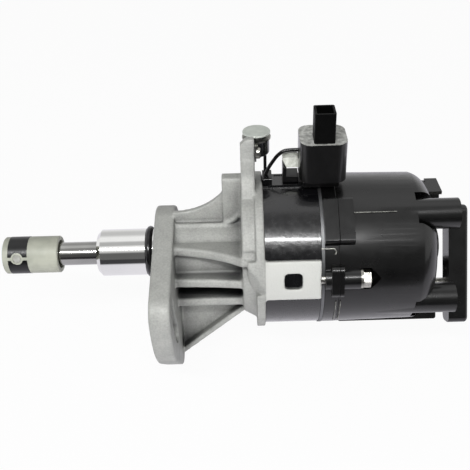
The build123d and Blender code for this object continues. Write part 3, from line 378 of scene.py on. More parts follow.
# Ground bar: mirrors the room in soft lines
GROUND_STEEL = Turned("ground_steel", "9c9c9a", "b2b2af", metallic=1.0, roughness=(0.1, 0.16), blotch_mm=20.0,
                      grain_mm=0.5, bump_mm=0.001)

# Ground and polished: a near mirror with faint rings
POLISHED = Turned("polished_steel", "e8e8e6", "f0f0ee", metallic=1.0, roughness=(0.06, 0.11), blotch_mm=24.0,
                  grain_mm=0.5, bump_mm=0.0008, ring_mm=0.5)

# Barrel-plated zinc: bright but scuffed, with small dull patches
ZINC = Finish("zinc_plated_steel", "8f8e89", "c9c8c0", metallic=1.0, roughness=(0.26, 0.4), blotch_mm=1.6,
              grain_mm=0.4, bump_mm=0.012)

# Turned aluminium: a satin grey line between two black mouldings
BRIGHT_RING = Turned("turned_aluminium", "6e6f70", "88898a", metallic=1.0, roughness=(0.42, 0.55),
                     blotch_mm=10.0, grain_mm=0.4, bump_mm=0.003)

# Moulded and oiled: deep black with a wet highlight
RUBBER = Finish("nitrile_rubber", "060607", "0a0a0b", ior=1.52, roughness=(0.16, 0.24), blotch_mm=3.0,
                grain_mm=0.3, bump_mm=0.004)

# Pressed and sintered: brown, dull and slightly open
BRONZE = Finish("sintered_bronze", "6d4c28", "8a6436", metallic=1.0, roughness=(0.4, 0.5), blotch_mm=2.0,
                grain_mm=0.3)

# Stamped from strip: yellow and smooth
BRASS = Finish("stamped_brass", "b08b4c", "c8a560", metallic=1.0, roughness=(0.25, 0.35), blotch_mm=4.0,
               grain_mm=0.4, bump_mm=0.004)

# Drawn and tempered: grey with a soft shine along the wire
WIRE = Finish("spring_wire", "77787a", "8c8d8f", metallic=1.0, blotch_mm=4.0, grain_mm=0.4, bump_mm=0.004)

# Pressed powder: dark grey and dry
CARBON = Finish("pressed_carbon", "101011", "1b1b1c", ior=1.6, roughness=(0.5, 0.6), blotch_mm=1.0,
                grain_mm=0.2, bump_mm=0.006)

# Moulded with glass fibre: glossy black with a pebbled, broken highlight
BODY_BLACK = Finish("glass_filled_nylon", "070709", "0d0d0f", ior=1.55, roughness=(0.16, 0.3), blotch_mm=9.0,
                    grain_mm=1.8, bump_mm=0.05, coat=0.5)

# Moulded in a polished tool: an even, slightly soft black shine
CAP_BLACK = Finish("polyester_moulding", "060606", "0c0c0c", ior=1.47, roughness=(0.27, 0.34), blotch_mm=16.0,
                   grain_mm=0.9, coat=0.28)

# Painted highlights: the same moulding made pale in thin lines on the parting bead and the cover's lips,
# standing in for the light they catch
PALE_HIGHLIGHT = Finish("moulding_painted_highlight", "3c3c3a", "8c8c87", roughness=(0.4, 0.5), blotch_mm=1.5,
                      grain_mm=0.4)

# Moulded phenolic: brown-black and dull
ROTOR_BLACK = Finish("phenolic_moulding", "1a1512", "241d19", ior=1.6, roughness=(0.4, 0.5), blotch_mm=6.0,
                     grain_mm=0.5)

# Moulded nylon: black with a thin sheen on its round corners
PLUG_BLACK = Finish("polyamide_moulding", "060606", "0b0b0b", blotch_mm=8.0, grain_mm=0.5, bump_mm=0.008,
                    coat=0.4)

# Painted shade: the same, blacker and duller with a weak reflection, so that the nose and its rim read darker
# than the collar
NOSE_SHADE_BLACK = Finish("painted_shade_polyamide", "030303", "060606", ior=1.2, roughness=(0.5, 0.6), blotch_mm=6.0,
                    grain_mm=0.5)

# Painted light: a pale grey on the collar's up-facing top, standing in for the light that falls on it;
# mottled and slightly uneven
TOP_LIGHT_GREY = Finish("painted_lit_top_grey", "8b8c89", "cfd0cc", roughness=(0.5, 0.65), blotch_mm=2.2, grain_mm=0.5,
                 bump_mm=0.05)

# Moulded without pigment: a dull greenish white
NYLON = Finish("natural_nylon", "a0a296", "b0b2a5", roughness=(0.4, 0.5), blotch_mm=6.0, bump_mm=0.006)

# Moulded acetal: black and smooth
BAND_BLACK = Finish("acetal_band", "080809", "0d0d0e", ior=1.48, roughness=(0.3, 0.38), blotch_mm=4.0,
                    grain_mm=0.5, bump_mm=0.006)

# Drawn and tinned: pale, with a soft dull shine
CAN = Finish("tinned_can", "c3c8c1", "d0d5ce", metallic=0.5, roughness=(0.35, 0.45), blotch_mm=3.0,
             grain_mm=0.5, bump_mm=0.006)

# Dipped in black lacquer: wet and uneven
CAN_BLACK = Finish("lacquered_can", "08090a", "1a1b1b", ior=1.55, roughness=(0.15, 0.3), blotch_mm=1.2,
                   grain_mm=0.5, bump_mm=0.03, coat=0.5)

# Moulded clear, now clouded: a glossy off-white
CLIP_WHITE = Finish("clear_nylon", "bfc1b8", "e2e4dc", ior=1.52, roughness=(0.2, 0.4), blotch_mm=2.0,
                    grain_mm=0.5, bump_mm=0.02, coat=0.4)

# Tumbled pin: pale and satin
PIN_STEEL = Finish("tumbled_steel", "b5b5ae", "c6c6c0", metallic=0.6, roughness=(0.45, 0.55), blotch_mm=2.0,
                   grain_mm=0.3, bump_mm=0.006)

# Which CAD nodes wear each finish
FINISHED_NODES = (
    (CASTING, ("housing",)),
    (POLISHED, ("pilot_journal",)),
    (GROUND_STEEL, ("drive_shaft", "drive_dog", "bearing_outer_race", "bearing_inner_race", "bearing_balls",
                    "bearing_cage", "bearing_retainer", "shaft_circlip", "rotor_screw", "signal_plate",
                    "pickup_base")),
    (PIN_STEEL, ("coupling_pin",)),
    (ZINC, ("pickup_screws", "retainer_screws", "cap_screws", "bar_screws", "bar_legs", "condenser_strap",
            "strap_screw")),
    (BRIGHT_RING, ("spacer_ring", "signal_hub")),
    (RUBBER, ("pilot_seal", "shaft_seal", "lead_grommet", "condenser_lead", "plug_lead")),
    (BRONZE, ("shaft_bush",)),
    (BRASS, ("cap_terminals", "centre_terminal", "rotor_blade", "connector_pins")),
    (WIRE, ("brush_spring",)),
    (CARBON, ("carbon_brush",)),
    (BODY_BLACK, ("sensor_body", "pickup_head")),
    (CAP_BLACK, ("cap", "dust_cover", "retainer_bar")),
    (ROTOR_BLACK, ("rotor_arm",)),
    (PLUG_BLACK, ("connector",)),
    (NYLON, ("coupling_sleeve",)),
    (CLIP_WHITE, ("lead_clip",)),
    (BAND_BLACK, ("coupling_band", "clip_bracket")),
    (CAN, ("condenser_can",)),
    (CAN_BLACK, ("condenser_base",)),
)


def wear(obj: bpy.types.Object, finish: Finish) -> None:
    """Gives an object one finish all over.

    Args:
        obj: The piece or CAD node.
        finish: The finish.
    """
    obj.data.materials.clear()
    obj.data.materials.append(finish.build())


def merged(node: str) -> bmesh.types.BMesh:
    """A welded copy of a CAD node's mesh, ready to be shaped.

    Args:
        node: The CAD node.

    Returns:
        The mesh as a bmesh, with its flat faces whole.
    """
    bm = bmesh.new()
    bm.from_mesh(frame["nodes"][node].data)
    bmesh.ops.remove_doubles(bm, verts=bm.verts, dist=WELD_MM * MM)
    bmesh.ops.dissolve_limit(bm, angle_limit=math.radians(FLAT_DEG), verts=bm.verts, edges=bm.edges)
    return bm


def shift(bm: bmesh.types.BMesh, move: tuple, right: float = BEYOND_MM, low: float = -BEYOND_MM,
          high: float = BEYOND_MM) -> None:
    """Moves the part of a mesh between two heights and left of a place.

    Args:
        bm: The mesh.
        move: How far to move, in millimetres.
        right: The highest X that moves, in millimetres.
        low: The lowest Z that moves.
        high: The highest Z that moves.
    """
    inside = [v for v in bm.verts if v.co.x <= right * MM and low * MM <= v.co.z <= high * MM]
    bmesh.ops.translate(bm, verts=inside, vec=Vector(move) * MM)


def as_piece(bm: bmesh.types.BMesh, name: str, finish: Finish, replaced: tuple = (),
             sharp: float = 30.0) -> bpy.types.Object:
    """Turns a mesh into a dressed piece that rides on the housing.

    Args:
        bm: The mesh, which is freed.
        name: The piece's name.
        finish: Its finish.
        replaced: The CAD nodes that it stands for.
        sharp: The angle in degrees above which an edge counts as one.

    Returns:
        The new piece.
    """
    for face in bm.faces:
        face.smooth = True
    for edge in bm.edges:
        edge.smooth = edge.calc_face_angle(math.pi) < math.radians(sharp)
    mesh = bpy.data.meshes.new(name)
    bm.to_mesh(mesh)
    bm.free()
    piece = bpy.data.objects.new(name, mesh)
    bpy.context.scene.collection.objects.link(piece)
    wear(piece, finish)
    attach(piece, CARRIER)
    if replaced:
        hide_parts(*replaced)
    log.info("%s: %d faces", piece.name, len(mesh.polygons))
    return piece


def ease_edges(piece: bpy.types.Object, edge_mm: float, steps: int = 3, sharp: float = 30.0) -> None:
    """Rounds a piece's edges with a live bevel.

    Args:
        piece: The piece.
        edge_mm: The radius of its moulded edges.
        steps: How many flat strips make one round edge.
        sharp: The angle in degrees above which an edge is rounded.
    """
    bevel = piece.modifiers.new("edges", "BEVEL")
    bevel.width = edge_mm * MM
    bevel.segments = steps
    bevel.limit_method = "ANGLE"
    bevel.angle_limit = math.radians(sharp)
    bevel.use_clamp_overlap = True
    bevel.harden_normals = True


def rod(bm: bmesh.types.BMesh, start: Vector, end: Vector, radius_mm: float, tip_mm: float = None,
        sides: int = 10) -> None:
    """Adds a round rod between two points.

    Args:
        bm: The mesh that gets it.
        start: Its first end in millimetres.
        end: Its other end.
        radius_mm: Its radius at the start.
        tip_mm: Its radius at the end, if not the same.
        sides: How many sides it has.
    """
    way = (end - start) * MM
    turn = way.to_track_quat("Z", "Y").to_matrix().to_4x4()
    place = Matrix.Translation((start + end) / 2 * MM) @ turn
    tip = radius_mm if tip_mm is None else tip_mm
    bmesh.ops.create_cone(bm, cap_ends=True, segments=sides, radius1=radius_mm * MM, radius2=tip * MM,
                          depth=way.length, matrix=place)


def on_drum(x: float, degrees: float, radius: float) -> Vector:
    """A point on a drum about the shaft, in millimetres.

    Args:
        x: Its place along the shaft.
        degrees: Its angle up from the camera's side.
        radius: Its distance from the axis.

    Returns:
        The point.
    """
    turn = math.radians(degrees)
    return Vector((x, -radius * math.cos(turn), radius * math.sin(turn)))


@dataclass
class Casting:
    """The die-cast housing, with the soft edges and beads that the mould leaves.

    The bead is a chain of points in millimetres along the spine's foot and up
    to the plate, and the web fills the corner where the top rib, the plate and
    the rim meet. The screws' blind holes are closed here, because the screws
    fill them and their thin outer wall is finer than the mould's grain.
    """

    voxel_mm: float = 0.62
    smoothing: int = 4
    keep_share: float = 0.45
    bead_mm: float = 1.25
    bead_points_mm: tuple = ((9.0, -3.9, 18.0), (35.0, -4.2, 18.1), (40.0, -3.6, 20.2), (44.5, -3.2, 25.5))
    web_mm: float = 1.9
    web_points_mm: tuple = ((42.6, -32.8, 15.0), (48.2, -33.4, 15.0))
    hole_mm: float = 2.7
    hole_x_mm: tuple = (72.8, 80.4)
    hole_deg: tuple = (10.0, 190.0)
    hole_reach_mm: float = 36.9
    hole_sides: int = 24

    def build(self, slot: str) -> bpy.types.Object:
        """Makes the casting.

        Args:
            slot: The record's material slot; not used.

        Returns:
            The piece.
        """
        bm = merged("housing")
        for points, radius in ((self.bead_points_mm, self.bead_mm), (self.web_points_mm, self.web_mm)):
            chain = [Vector(point) for point in points]
            for start, end in zip(chain, chain[1:]):
                rod(bm, start, end, radius)
        for degrees in self.hole_deg:
            left, right = (on_drum(x, degrees, self.hole_reach_mm) for x in self.hole_x_mm)
            rod(bm, left, right, self.hole_mm, sides=self.hole_sides)
        piece = as_piece(bm, "casting", CASTING, ("housing",))
        remesh = piece.modifiers.new("mould", "REMESH")
        remesh.mode = "VOXEL"
        remesh.voxel_size = self.voxel_mm * MM
        remesh.use_smooth_shade = True
        smooth = piece.modifiers.new("blast", "SMOOTH")
        smooth.factor = 0.5
        smooth.iterations = self.smoothing
        thin = piece.modifiers.new("thin", "DECIMATE")
        thin.ratio = self.keep_share
        return piece


@dataclass
class Cap:
    """The cap with its parting bead, and the dust cover with its lips and wire catch.

    Angles go up from the camera's side, and the bead, the wire and the lips lie
    on drums about the shaft. The wire's hook has two short steps, each given by
    its end's place right of the wire in millimetres and below it in degrees.
    """

    cap_edge_mm: float = 0.4
    cover_edge_mm: float = 0.3
    bead_x_mm: tuple = (94.0, 117.5)
    bead_deg: float = 58.8
    bead_drum_mm: float = 38.35
    bead_mm: float = 0.34
    wire_x_mm: tuple = (80.9, 86.9)
    wire_deg: float = 33.0
    wire_drum_mm: float = 38.9
    wire_mm: float = 0.32
    hook_steps: tuple = ((0.9, 2.0), (0.5, 4.0))
    lip_x_mm: tuple = (88.1, 90.3)
    lip_deg: tuple = (-9.0, -38.0)
    lip_drum_mm: float = 38.75
    lip_mm: float = 0.26
    lip_sides: int = 8
    lip_steps: int = 18

    def parting_bead(self) -> bmesh.types.BMesh:
        """The thin bead that the mould's parting leaves along the cap.

        Returns:
            Its mesh, thinner towards the towers.
        """
        bm = bmesh.new()
        left, right = (on_drum(x, self.bead_deg, self.bead_drum_mm) for x in self.bead_x_mm)
        rod(bm, left, right, self.bead_mm, self.bead_mm / 2)
        return bm

    def catch_wire(self) -> bmesh.types.BMesh:
        """The short hooked wire over the cover's left edge.

        Returns:
            Its mesh.
        """
        bm = bmesh.new()
        left, right = self.wire_x_mm
        chain = [on_drum(x, self.wire_deg, self.wire_drum_mm) for x in (left, right)]
        for across, down in self.hook_steps:
            chain.append(on_drum(right + across, self.wire_deg - down, self.wire_drum_mm))
        for start, end in zip(chain, chain[1:]):
            rod(bm, start, end, self.wire_mm)
        return bm

    def lips(self) -> bmesh.types.BMesh:
        """The two raised lips low on the cover's near side.

        Returns:
            Their mesh, each a ring swung about the shaft.
        """
        bm = bmesh.new()
        start, end = self.lip_deg
        for x in self.lip_x_mm:
            verts = bmesh.ops.create_circle(bm, cap_ends=False, segments=self.lip_sides,
                                            radius=self.lip_mm * MM)["verts"]
            place = Matrix.Translation(on_drum(x, start, self.lip_drum_mm) * MM)
            turn = Matrix.Rotation(math.radians(start), 4, "X")
            bmesh.ops.transform(bm, matrix=place @ turn, verts=verts)
            edges = [edge for edge in bm.edges if all(v in verts for v in edge.verts)]
            bmesh.ops.spin(bm, geom=verts + edges, cent=(0, 0, 0), axis=(1, 0, 0),
                           angle=math.radians(start - end), steps=self.lip_steps, use_merge=False)
        bmesh.ops.holes_fill(bm, edges=[edge for edge in bm.edges if edge.is_boundary], sides=0)
        bmesh.ops.recalc_face_normals(bm, faces=bm.faces)
        return bm

    def build(self, slots: dict) -> None:
        """Makes the pieces.

        Args:
            slots: Node name to material slot; not used.
        """
        for node, edge in {"cap": self.cap_edge_mm, "dust_cover": self.cover_edge_mm}.items():
            ease_edges(as_piece(merged(node), node + "_moulding", CAP_BLACK, (node,)), edge)
        # Pale painted highlights on the parting bead and the lips
        as_piece(self.parting_bead(), "cap_parting_bead", PALE_HIGHLIGHT)
        as_piece(self.lips(), "cover_lips", PALE_HIGHLIGHT)
        as_piece(self.catch_wire(), "cover_catch_wire", ZINC)


@dataclass
class Plug:
    """The plug's housing: round-cornered collar, a top painted pale as lit, and a nose painted dark as shade.

    The collar's top lies a known way under the socket's mouth. What is more
    than nose_over_mm above it is the nose, with painted shade, and what faces up and is at most
    a given depth below it gets painted light, a pale grey.
    """

    edge_mm: float = 0.4
    corner_mm: float = 5.6
    corner_steps: int = 6
    top_under_socket_mm: float = 14.8
    collar_mm: float = 20.0
    skin_mm: float = 0.05
    nose_over_mm: float = 0.5
    # The painted light on the top: how far below the collar's top, and how nearly up, a face must be
    lit_top_under_mm: float = 0.1
    lit_top_facing: float = 0.9

    def wrap_collar(self, bm: bmesh.types.BMesh, low: Vector, high: Vector, top: float) -> None:
        """Wraps the collar in a thin skin with round corners.

        Args:
            bm: The housing's mesh.
            low: The housing's lowest corner.
            high: Its highest corner.
            top: The collar's top in metres.
        """
        across = high.x - low.x + 2 * self.skin_mm * MM
        middle = Vector(((low.x + high.x) / 2, 0, top + (self.skin_mm - self.collar_mm / 2) * MM))
        verts = bmesh.ops.create_cube(bm, size=1.0)["verts"]
        bmesh.ops.scale(bm, verts=verts, vec=(across, across, self.collar_mm * MM))
        bmesh.ops.translate(bm, verts=verts, vec=middle)
        upright = []
        for edge in {edge for v in verts for edge in v.link_edges}:
            flat_run = (edge.verts[0].co - edge.verts[1].co).to_2d().length
            if flat_run < across / 2:
                upright.append(edge)
        bmesh.ops.bevel(bm, geom=upright, offset=self.corner_mm * MM, offset_type="OFFSET", affect="EDGES",
                        segments=self.corner_steps, profile=0.5, material=-1, clamp_overlap=True)

    def zone(self, face: bpy.types.MeshPolygon, top: float) -> PlugZone:
        """Says which zone of the plug a face belongs to.

        Args:
            face: The face.
            top: The collar's top in metres.

        Returns:
            The zone.
        """
        # Painted shade on the nose and painted light on the collar's up-facing top
        if face.center.z > top + self.nose_over_mm * MM:
            return PlugZone.NOSE
        if face.center.z > top - self.lit_top_under_mm * MM and face.normal.z > self.lit_top_facing:
            return PlugZone.UP_FACING_LIT
        return PlugZone.COLLAR

    def build(self, slot: str) -> bpy.types.Object:
        """Makes the housing.

        Args:
            slot: The record's material slot; not used.

        Returns:
            The piece.
        """
        low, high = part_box("connector")
        top = high.z - self.top_under_socket_mm * MM
        bm = merged("connector")
        self.wrap_collar(bm, low, high, top)
        piece = as_piece(bm, "plug_housing", PLUG_BLACK, ("connector",))
        # The nose's blacker tone is painted shade, the top's pale grey painted light
        for finish in (NOSE_SHADE_BLACK, TOP_LIGHT_GREY):
            piece.data.materials.append(finish.build())
        for face in piece.data.polygons:
            face.material_index = self.zone(face, top).value
        ease_edges(piece, self.edge_mm)
        return piece


@dataclass
class Condenser:
    """The condenser on the lug: a thin bright head on a black neck and can.

    The head and the strap's ring sit a little lower than the plain solids, with
    a dark gap between them. Heights are those of the plain solids.
    """

    head_drop_mm: float = 1.9
    head_middle_mm: float = 65.2
    head_under_drop_mm: float = 1.4
    head_under_mm: float = 64.5
    ring_drop_mm: float = 1.0
    shoulder_mm: tuple = (61.0, 62.0)
    black_under_mm: float = 63.35

    def build(self, slots: dict) -> None:
        """Makes the can and its strap.

        Args:
            slots: Node name to material slot; not used.
        """
        can = merged("condenser_can")
        shift(can, (0, 0, -self.head_drop_mm), low=self.head_middle_mm)
        shift(can, (0, 0, -self.head_under_drop_mm), low=self.head_under_mm, high=self.head_middle_mm)
        shift(can, (0, 0, -self.ring_drop_mm), low=self.shoulder_mm[0], high=self.shoulder_mm[1])
        head = as_piece(can, "condenser_head", CAN, ("condenser_can",))
        head.data.materials.append(CAN_BLACK.build())
        for face in head.data.polygons:
            face.material_index = int(face.center.z < self.black_under_mm * MM)
        strap = merged("condenser_strap")
        shift(strap, (0, 0, -self.ring_drop_mm), low=self.shoulder_mm[0])
        as_piece(strap, "condenser_ring", ZINC, ("condenser_strap",))


@dataclass
class LeadClip:
    """The clear clip that holds the plug's lead, on its black saddle.

    The left end of both is drawn in towards the plug, and the clip's foot and
    top come closer together. Heights and places are those of the plain solids.
    """

    edge_mm: float = 0.3
    left_of_mm: float = 67.0
    inset_mm: float = 0.9
    saddle_inset_mm: float = 3.2
    foot_under_mm: float = 48.0
    foot_inset_mm: float = 1.9
    foot_rise_mm: float = 4.0
    top_over_mm: float = 50.0
    top_drop_mm: float = 2.2

    def build(self, slots: dict) -> None:
        """Makes the clip and its saddle.

        Args:
            slots: Node name to material slot; not used.
        """
        clip = merged("lead_clip")
        shift(clip, (self.inset_mm, 0, 0), right=self.left_of_mm)
        shift(clip, (self.foot_inset_mm, 0, 0), right=self.left_of_mm, high=self.foot_under_mm)
        shift(clip, (0, 0, self.foot_rise_mm), high=self.foot_under_mm)
        shift(clip, (0, 0, -self.top_drop_mm), low=self.top_over_mm)
        holder = as_piece(clip, "lead_holder", CLIP_WHITE, ("lead_clip",))
        ease_edges(holder, self.edge_mm)
        saddle = merged("clip_bracket")
        shift(saddle, (self.saddle_inset_mm, 0, 0), right=self.left_of_mm)
        foot = as_piece(saddle, "lead_saddle", BAND_BLACK, ("clip_bracket",))
        ease_edges(foot, self.edge_mm)


@dataclass
class WindowTabs:
    """The black body's two tabs, one in the window of each pillar."""

    x_mm: float = 67.6
    length_mm: float = 8.4
    width_mm: float = 8.0
    low_r_mm: float = 36.0
    high_r_mm: float = 37.4
    angles_deg: tuple = (10.0, 190.0)
    edge_mm: float = 0.6

    def build(self, slot: str) -> bpy.types.Object:
        """Makes the tabs.

        Args:
            slot: The record's material slot; not used.

        Returns:
            The piece.
        """
        bm = bmesh.new()
        size = Vector((self.length_mm, self.high_r_mm - self.low_r_mm, self.width_mm)) * MM
        for degrees in self.angles_deg:
            verts = bmesh.ops.create_cube(bm, size=1.0)["verts"]
            bmesh.ops.scale(bm, verts=verts, vec=size)
            middle = on_drum(self.x_mm, degrees, (self.low_r_mm + self.high_r_mm) / 2) * MM
            turn = Matrix.Rotation(math.radians(-degrees), 4, "X")
            bmesh.ops.transform(bm, matrix=Matrix.Translation(middle) @ turn, verts=verts)
        tabs = as_piece(bm, "window_tabs", BODY_BLACK)
        ease_edges(tabs, self.edge_mm)
        return tabs


@dataclass
class Mouldings:
    """The plain black mouldings that only get round edges: the body and the end bar."""

    edge_mm: float = 0.4

    def build(self, slots: dict) -> None:
        """Makes the pieces.

        Args:
            slots: Node name to material slot; not used.
        """
        for node, finish in {"sensor_body": BODY_BLACK, "retainer_bar": CAP_BLACK}.items():
            ease_edges(as_piece(merged(node), node + "_moulding", finish, (node,)), self.edge_mm)


def brush_spring() -> bpy.types.Object:
    """The spring behind the carbon brush, which in the real part shortens as the brush is pushed in; here it
    is a fixed piece with a mesh of its own.

    Returns:
        The piece.
    """
    coil = as_piece(merged("brush_spring"), "spring_coil", WIRE, ("brush_spring",))
    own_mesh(coil)
    return coil


@dataclass
class Camera:
    """The camera at the photograph's viewing angle.

    The optical axis meets the shaft near aim_x_mm, and falls on the pixel
    centre_px of a picture frame_px wide. The camera is turned by roll_deg, as
    the photograph's was.
    """

    aim_x_mm: float = 46.6
    aim_up_mm: float = 4.5
    distance_mm: float = 385.0
    elevation_deg: float = 34.0
    roll_deg: float = 1.6
    field_deg: float = 35.2
    nearest_mm: float = 10.0
    centre_px: tuple = (248.0, 240.0)
    frame_px: float = 470.0

    def build(self) -> bpy.types.Object:
        """Places the camera.

        Returns:
            The camera object.
        """
        lift = math.radians(self.elevation_deg)
        roll = math.radians(self.roll_deg)
        towards = Vector((0, -math.cos(lift), math.sin(lift)))
        picture_up = Vector((0, math.sin(lift), math.cos(lift)))
        picture_right = Vector((1, 0, 0))
        right = picture_right * math.cos(roll) - picture_up * math.sin(roll)
        up = picture_right * math.sin(roll) + picture_up * math.cos(roll)
        aim = Vector((self.aim_x_mm * MM, 0, 0)) + picture_up * self.aim_up_mm * MM
        place = Matrix.Translation(aim + towards * self.distance_mm * MM)
        lens = bpy.data.cameras.new("photo_camera")
        lens.sensor_fit = "HORIZONTAL"
        lens.angle = math.radians(self.field_deg)
        lens.clip_start = self.nearest_mm * MM
        lens.shift_x = (self.frame_px / 2 - self.centre_px[0]) / self.frame_px
        lens.shift_y = (self.centre_px[1] - self.frame_px / 2) / self.frame_px
        camera = bpy.data.objects.new("photo_camera", lens)
        camera.matrix_world = place @ Matrix((right, up, towards)).transposed().to_4x4()
        bpy.context.scene.collection.objects.link(camera)
        bpy.context.scene.camera = camera
        return camera


@dataclass(frozen=True)
class Lamp:
    """One soft lamp that faces the object's middle.

    The angle goes up from the horizon on the camera's side, across is its place
    along X and away its distance from the shaft in metres, and the size is its
    panel's length along X and its height. A lamp that isn't mirrored lights the
    matt surfaces alone.
    """

    name: str
    degrees: float
    across: float
    away: float
    size: tuple
    watts: float
    mirrored: bool = True
    aim_x: float = 0.05

    def hang(self) -> bpy.types.Object:
        """Hangs the lamp.

        Returns:
            The lamp object.
        """
        turn = math.radians(self.degrees)
        place = Vector((self.across, -self.away * math.cos(turn), self.away * math.sin(turn)))
        data = bpy.data.lights.new(self.name, "AREA")
        data.shape = "RECTANGLE"
        data.size, data.size_y = self.size
        data.energy = self.watts
        lamp = bpy.data.objects.new(self.name, data)
        lamp.location = place
        lamp.visible_glossy = self.mirrored
        lamp.rotation_euler = (Vector((self.aim_x, 0, 0)) - place).to_track_quat("-Z", "Y").to_euler()
        bpy.context.scene.collection.objects.link(lamp)
        return lamp


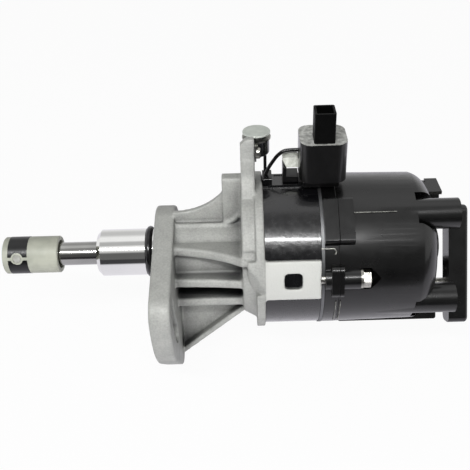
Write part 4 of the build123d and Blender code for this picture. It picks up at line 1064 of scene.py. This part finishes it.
@dataclass
class Studio:
    """A white floor and surround lit from the front, with the dark room behind the camera.

    The room shows in the turned steel as a dark band, and in the black
    mouldings as a dark middle between a crisp highlight and the floor's glow.
    The sky is a list of angles, up from the horizon on the camera's side and
    over the object, each with its brightness. Only glossy surfaces see it.
    """

    floor_drop_mm: float = 3.0
    floor_half_mm: float = 2500.0
    floor_middle_mm: float = 40.0
    paper: str = "f1f0f4"
    paper_mirrored: str = "f6f4fb"
    paper_front_mm: float = 150.0
    paper_fade_mm: tuple = (-20.0, 30.0)
    paper_glow: tuple = (0.06, 0.92)
    white_share: float = 0.95
    soft: str = "fffffa"
    soft_strength: float = 0.24
    side_level: float = 0.95
    side_span: tuple = (0.66, 0.8)
    sky: tuple = ((-180, 0.9), (-90, 0.9), (-30, 0.15), (28, 0.13), (36, 0.6), (45, 1.0), (62, 1.0),
                  (68, 0.5), (84, 0.52), (92, 1.0), (112, 1.0), (130, 0.62), (150, 0.62), (180, 0.9))
    lamps: tuple = (Lamp("strip", 49, -0.1, 0.9, (0.7, 0.06), 5.8),
                    Lamp("front_box", -2, 0.1, 0.85, (0.9, 0.35), 5.2, mirrored=False))

    def paper_material(self) -> bpy.types.Material:
        """The white paper, which glossy surfaces see dark in front of the object.

        Returns:
            The material.
        """
        material = bpy.data.materials.new("white_paper")
        material.use_nodes = True
        tree = material.node_tree
        tree.nodes.clear()
        paper = add_node(tree, "BsdfDiffuse", {"Color": linear(self.paper)})
        white = add_node(tree, "Emission", {"Color": (1, 1, 1, 1), "Strength": 1.0})
        place = add_node(tree, "TexCoord")
        split = add_node(tree, "SeparateXYZ", links={"Vector": place.outputs["Object"]})
        front, back = ((fade - self.paper_front_mm) * MM for fade in self.paper_fade_mm)
        dim, bright = self.paper_glow
        ends = {"From Min": front, "From Max": back, "To Min": dim, "To Max": bright}
        near = add_node(tree, "MapRange", ends, {"Value": split.outputs["Y"]})
        glow = add_node(tree, "Emission", {"Color": linear(self.paper_mirrored)},
                        {"Strength": near.outputs["Result"]})
        ray = add_node(tree, "LightPath")
        parts = {0: ray.outputs["Is Glossy Ray"], 1: paper.outputs[0], 2: glow.outputs[0]}
        glossy = add_node(tree, "MixShader", links=parts)
        share = add_node(tree, "Math", {1: self.white_share}, {0: ray.outputs["Is Camera Ray"]},
                         operation="MULTIPLY")
        mix = add_node(tree, "MixShader",
                       links={0: share.outputs[0], 1: glossy.outputs[0], 2: white.outputs[0]})
        add_node(tree, "OutputMaterial", links={"Surface": mix.outputs[0]})
        return material

    def floor(self) -> bpy.types.Object:
        """Lays the white paper under the object's lowest point.

        Returns:
            The floor object.
        """
        low = CAD_BOX[0].z - self.floor_drop_mm * MM
        bm = bmesh.new()
        bmesh.ops.create_grid(bm, x_segments=1, y_segments=1, size=self.floor_half_mm * MM)
        bmesh.ops.translate(bm, verts=bm.verts, vec=(self.floor_middle_mm * MM, 0, low))
        mesh = bpy.data.meshes.new("floor")
        bm.to_mesh(mesh)
        bm.free()
        floor = bpy.data.objects.new("floor", mesh)
        bpy.context.scene.collection.objects.link(floor)
        mesh.materials.append(self.paper_material())
        return floor

    def world(self) -> None:
        """Sets the white surround, with the banded room that glossy surfaces mirror."""
        world = bpy.data.worlds.new("studio")
        world.use_nodes = True
        tree = world.node_tree
        tree.nodes.clear()
        way = add_node(tree, "TexCoord")
        split = add_node(tree, "SeparateXYZ", links={"Vector": way.outputs["Generated"]})
        front = add_node(tree, "Math", {1: -1.0}, {0: split.outputs["Y"]}, operation="MULTIPLY")
        angle = add_node(tree, "Math", links={0: split.outputs["Z"], 1: front.outputs[0]},
                         operation="ARCTAN2")
        share = add_node(tree, "MapRange", {"From Min": -math.pi, "From Max": math.pi},
                         {"Value": angle.outputs[0]})
        bands = add_node(tree, "ValToRGB", links={"Fac": share.outputs["Result"]})
        ramp = bands.color_ramp
        while len(ramp.elements) < len(self.sky):
            ramp.elements.new(0.5)
        for stop, (degrees, level) in zip(ramp.elements, self.sky):
            stop.position = (degrees + 180) / 360
            stop.color = (level, level, level, 1)
        aside = add_node(tree, "Math", links={0: split.outputs["X"]}, operation="ABSOLUTE")
        span = {"From Min": self.side_span[0], "From Max": self.side_span[1]}
        flank = add_node(tree, "MapRange", span, {"Value": aside.outputs[0]})
        sides = {"Factor": flank.outputs["Result"], 6: bands.outputs["Color"]}
        walls = add_node(tree, "Mix", links=sides, data_type="RGBA")
        walls.inputs[7].default_value = (self.side_level, self.side_level, self.side_level, 1)
        room = add_node(tree, "Background", {"Strength": 1.0}, {"Color": walls.outputs[2]})
        soft = add_node(tree, "Background", {"Color": linear(self.soft), "Strength": self.soft_strength})
        white = add_node(tree, "Background", {"Color": (1, 1, 1, 1), "Strength": 1.0})
        ray = add_node(tree, "LightPath")
        lit = add_node(tree, "MixShader",
                       links={0: ray.outputs["Is Glossy Ray"], 1: soft.outputs[0], 2: room.outputs[0]})
        mix = add_node(tree, "MixShader",
                       links={0: ray.outputs["Is Camera Ray"], 1: lit.outputs[0], 2: white.outputs[0]})
        add_node(tree, "OutputWorld", links={"Surface": mix.outputs[0]})
        bpy.context.scene.world = world

    def build(self) -> None:
        """Sets up floor, surround and lamps."""
        self.floor()
        self.world()
        for lamp in self.lamps:
            lamp.hang()


def main() -> None:
    """Builds the camera, the studio and every piece."""
    logging.basicConfig(level=logging.INFO, format="%(message)s")
    bpy.context.scene.view_settings.view_transform = "Standard"
    Camera().build()
    Studio().build()
    for finish, nodes in FINISHED_NODES:
        for node in nodes:
            wear(frame["nodes"][node], finish)
    slots = {part["node"]: part["material_slot"] for part in frame["record"]["subparts"]}
    Casting().build(slots["housing"])
    Cap().build(slots)
    Plug().build(slots["connector"])
    Condenser().build(slots)
    LeadClip().build(slots)
    WindowTabs().build(slots["sensor_body"])
    brush_spring()
    Mouldings().build(slots)


if __name__ == "__main__":
    main()
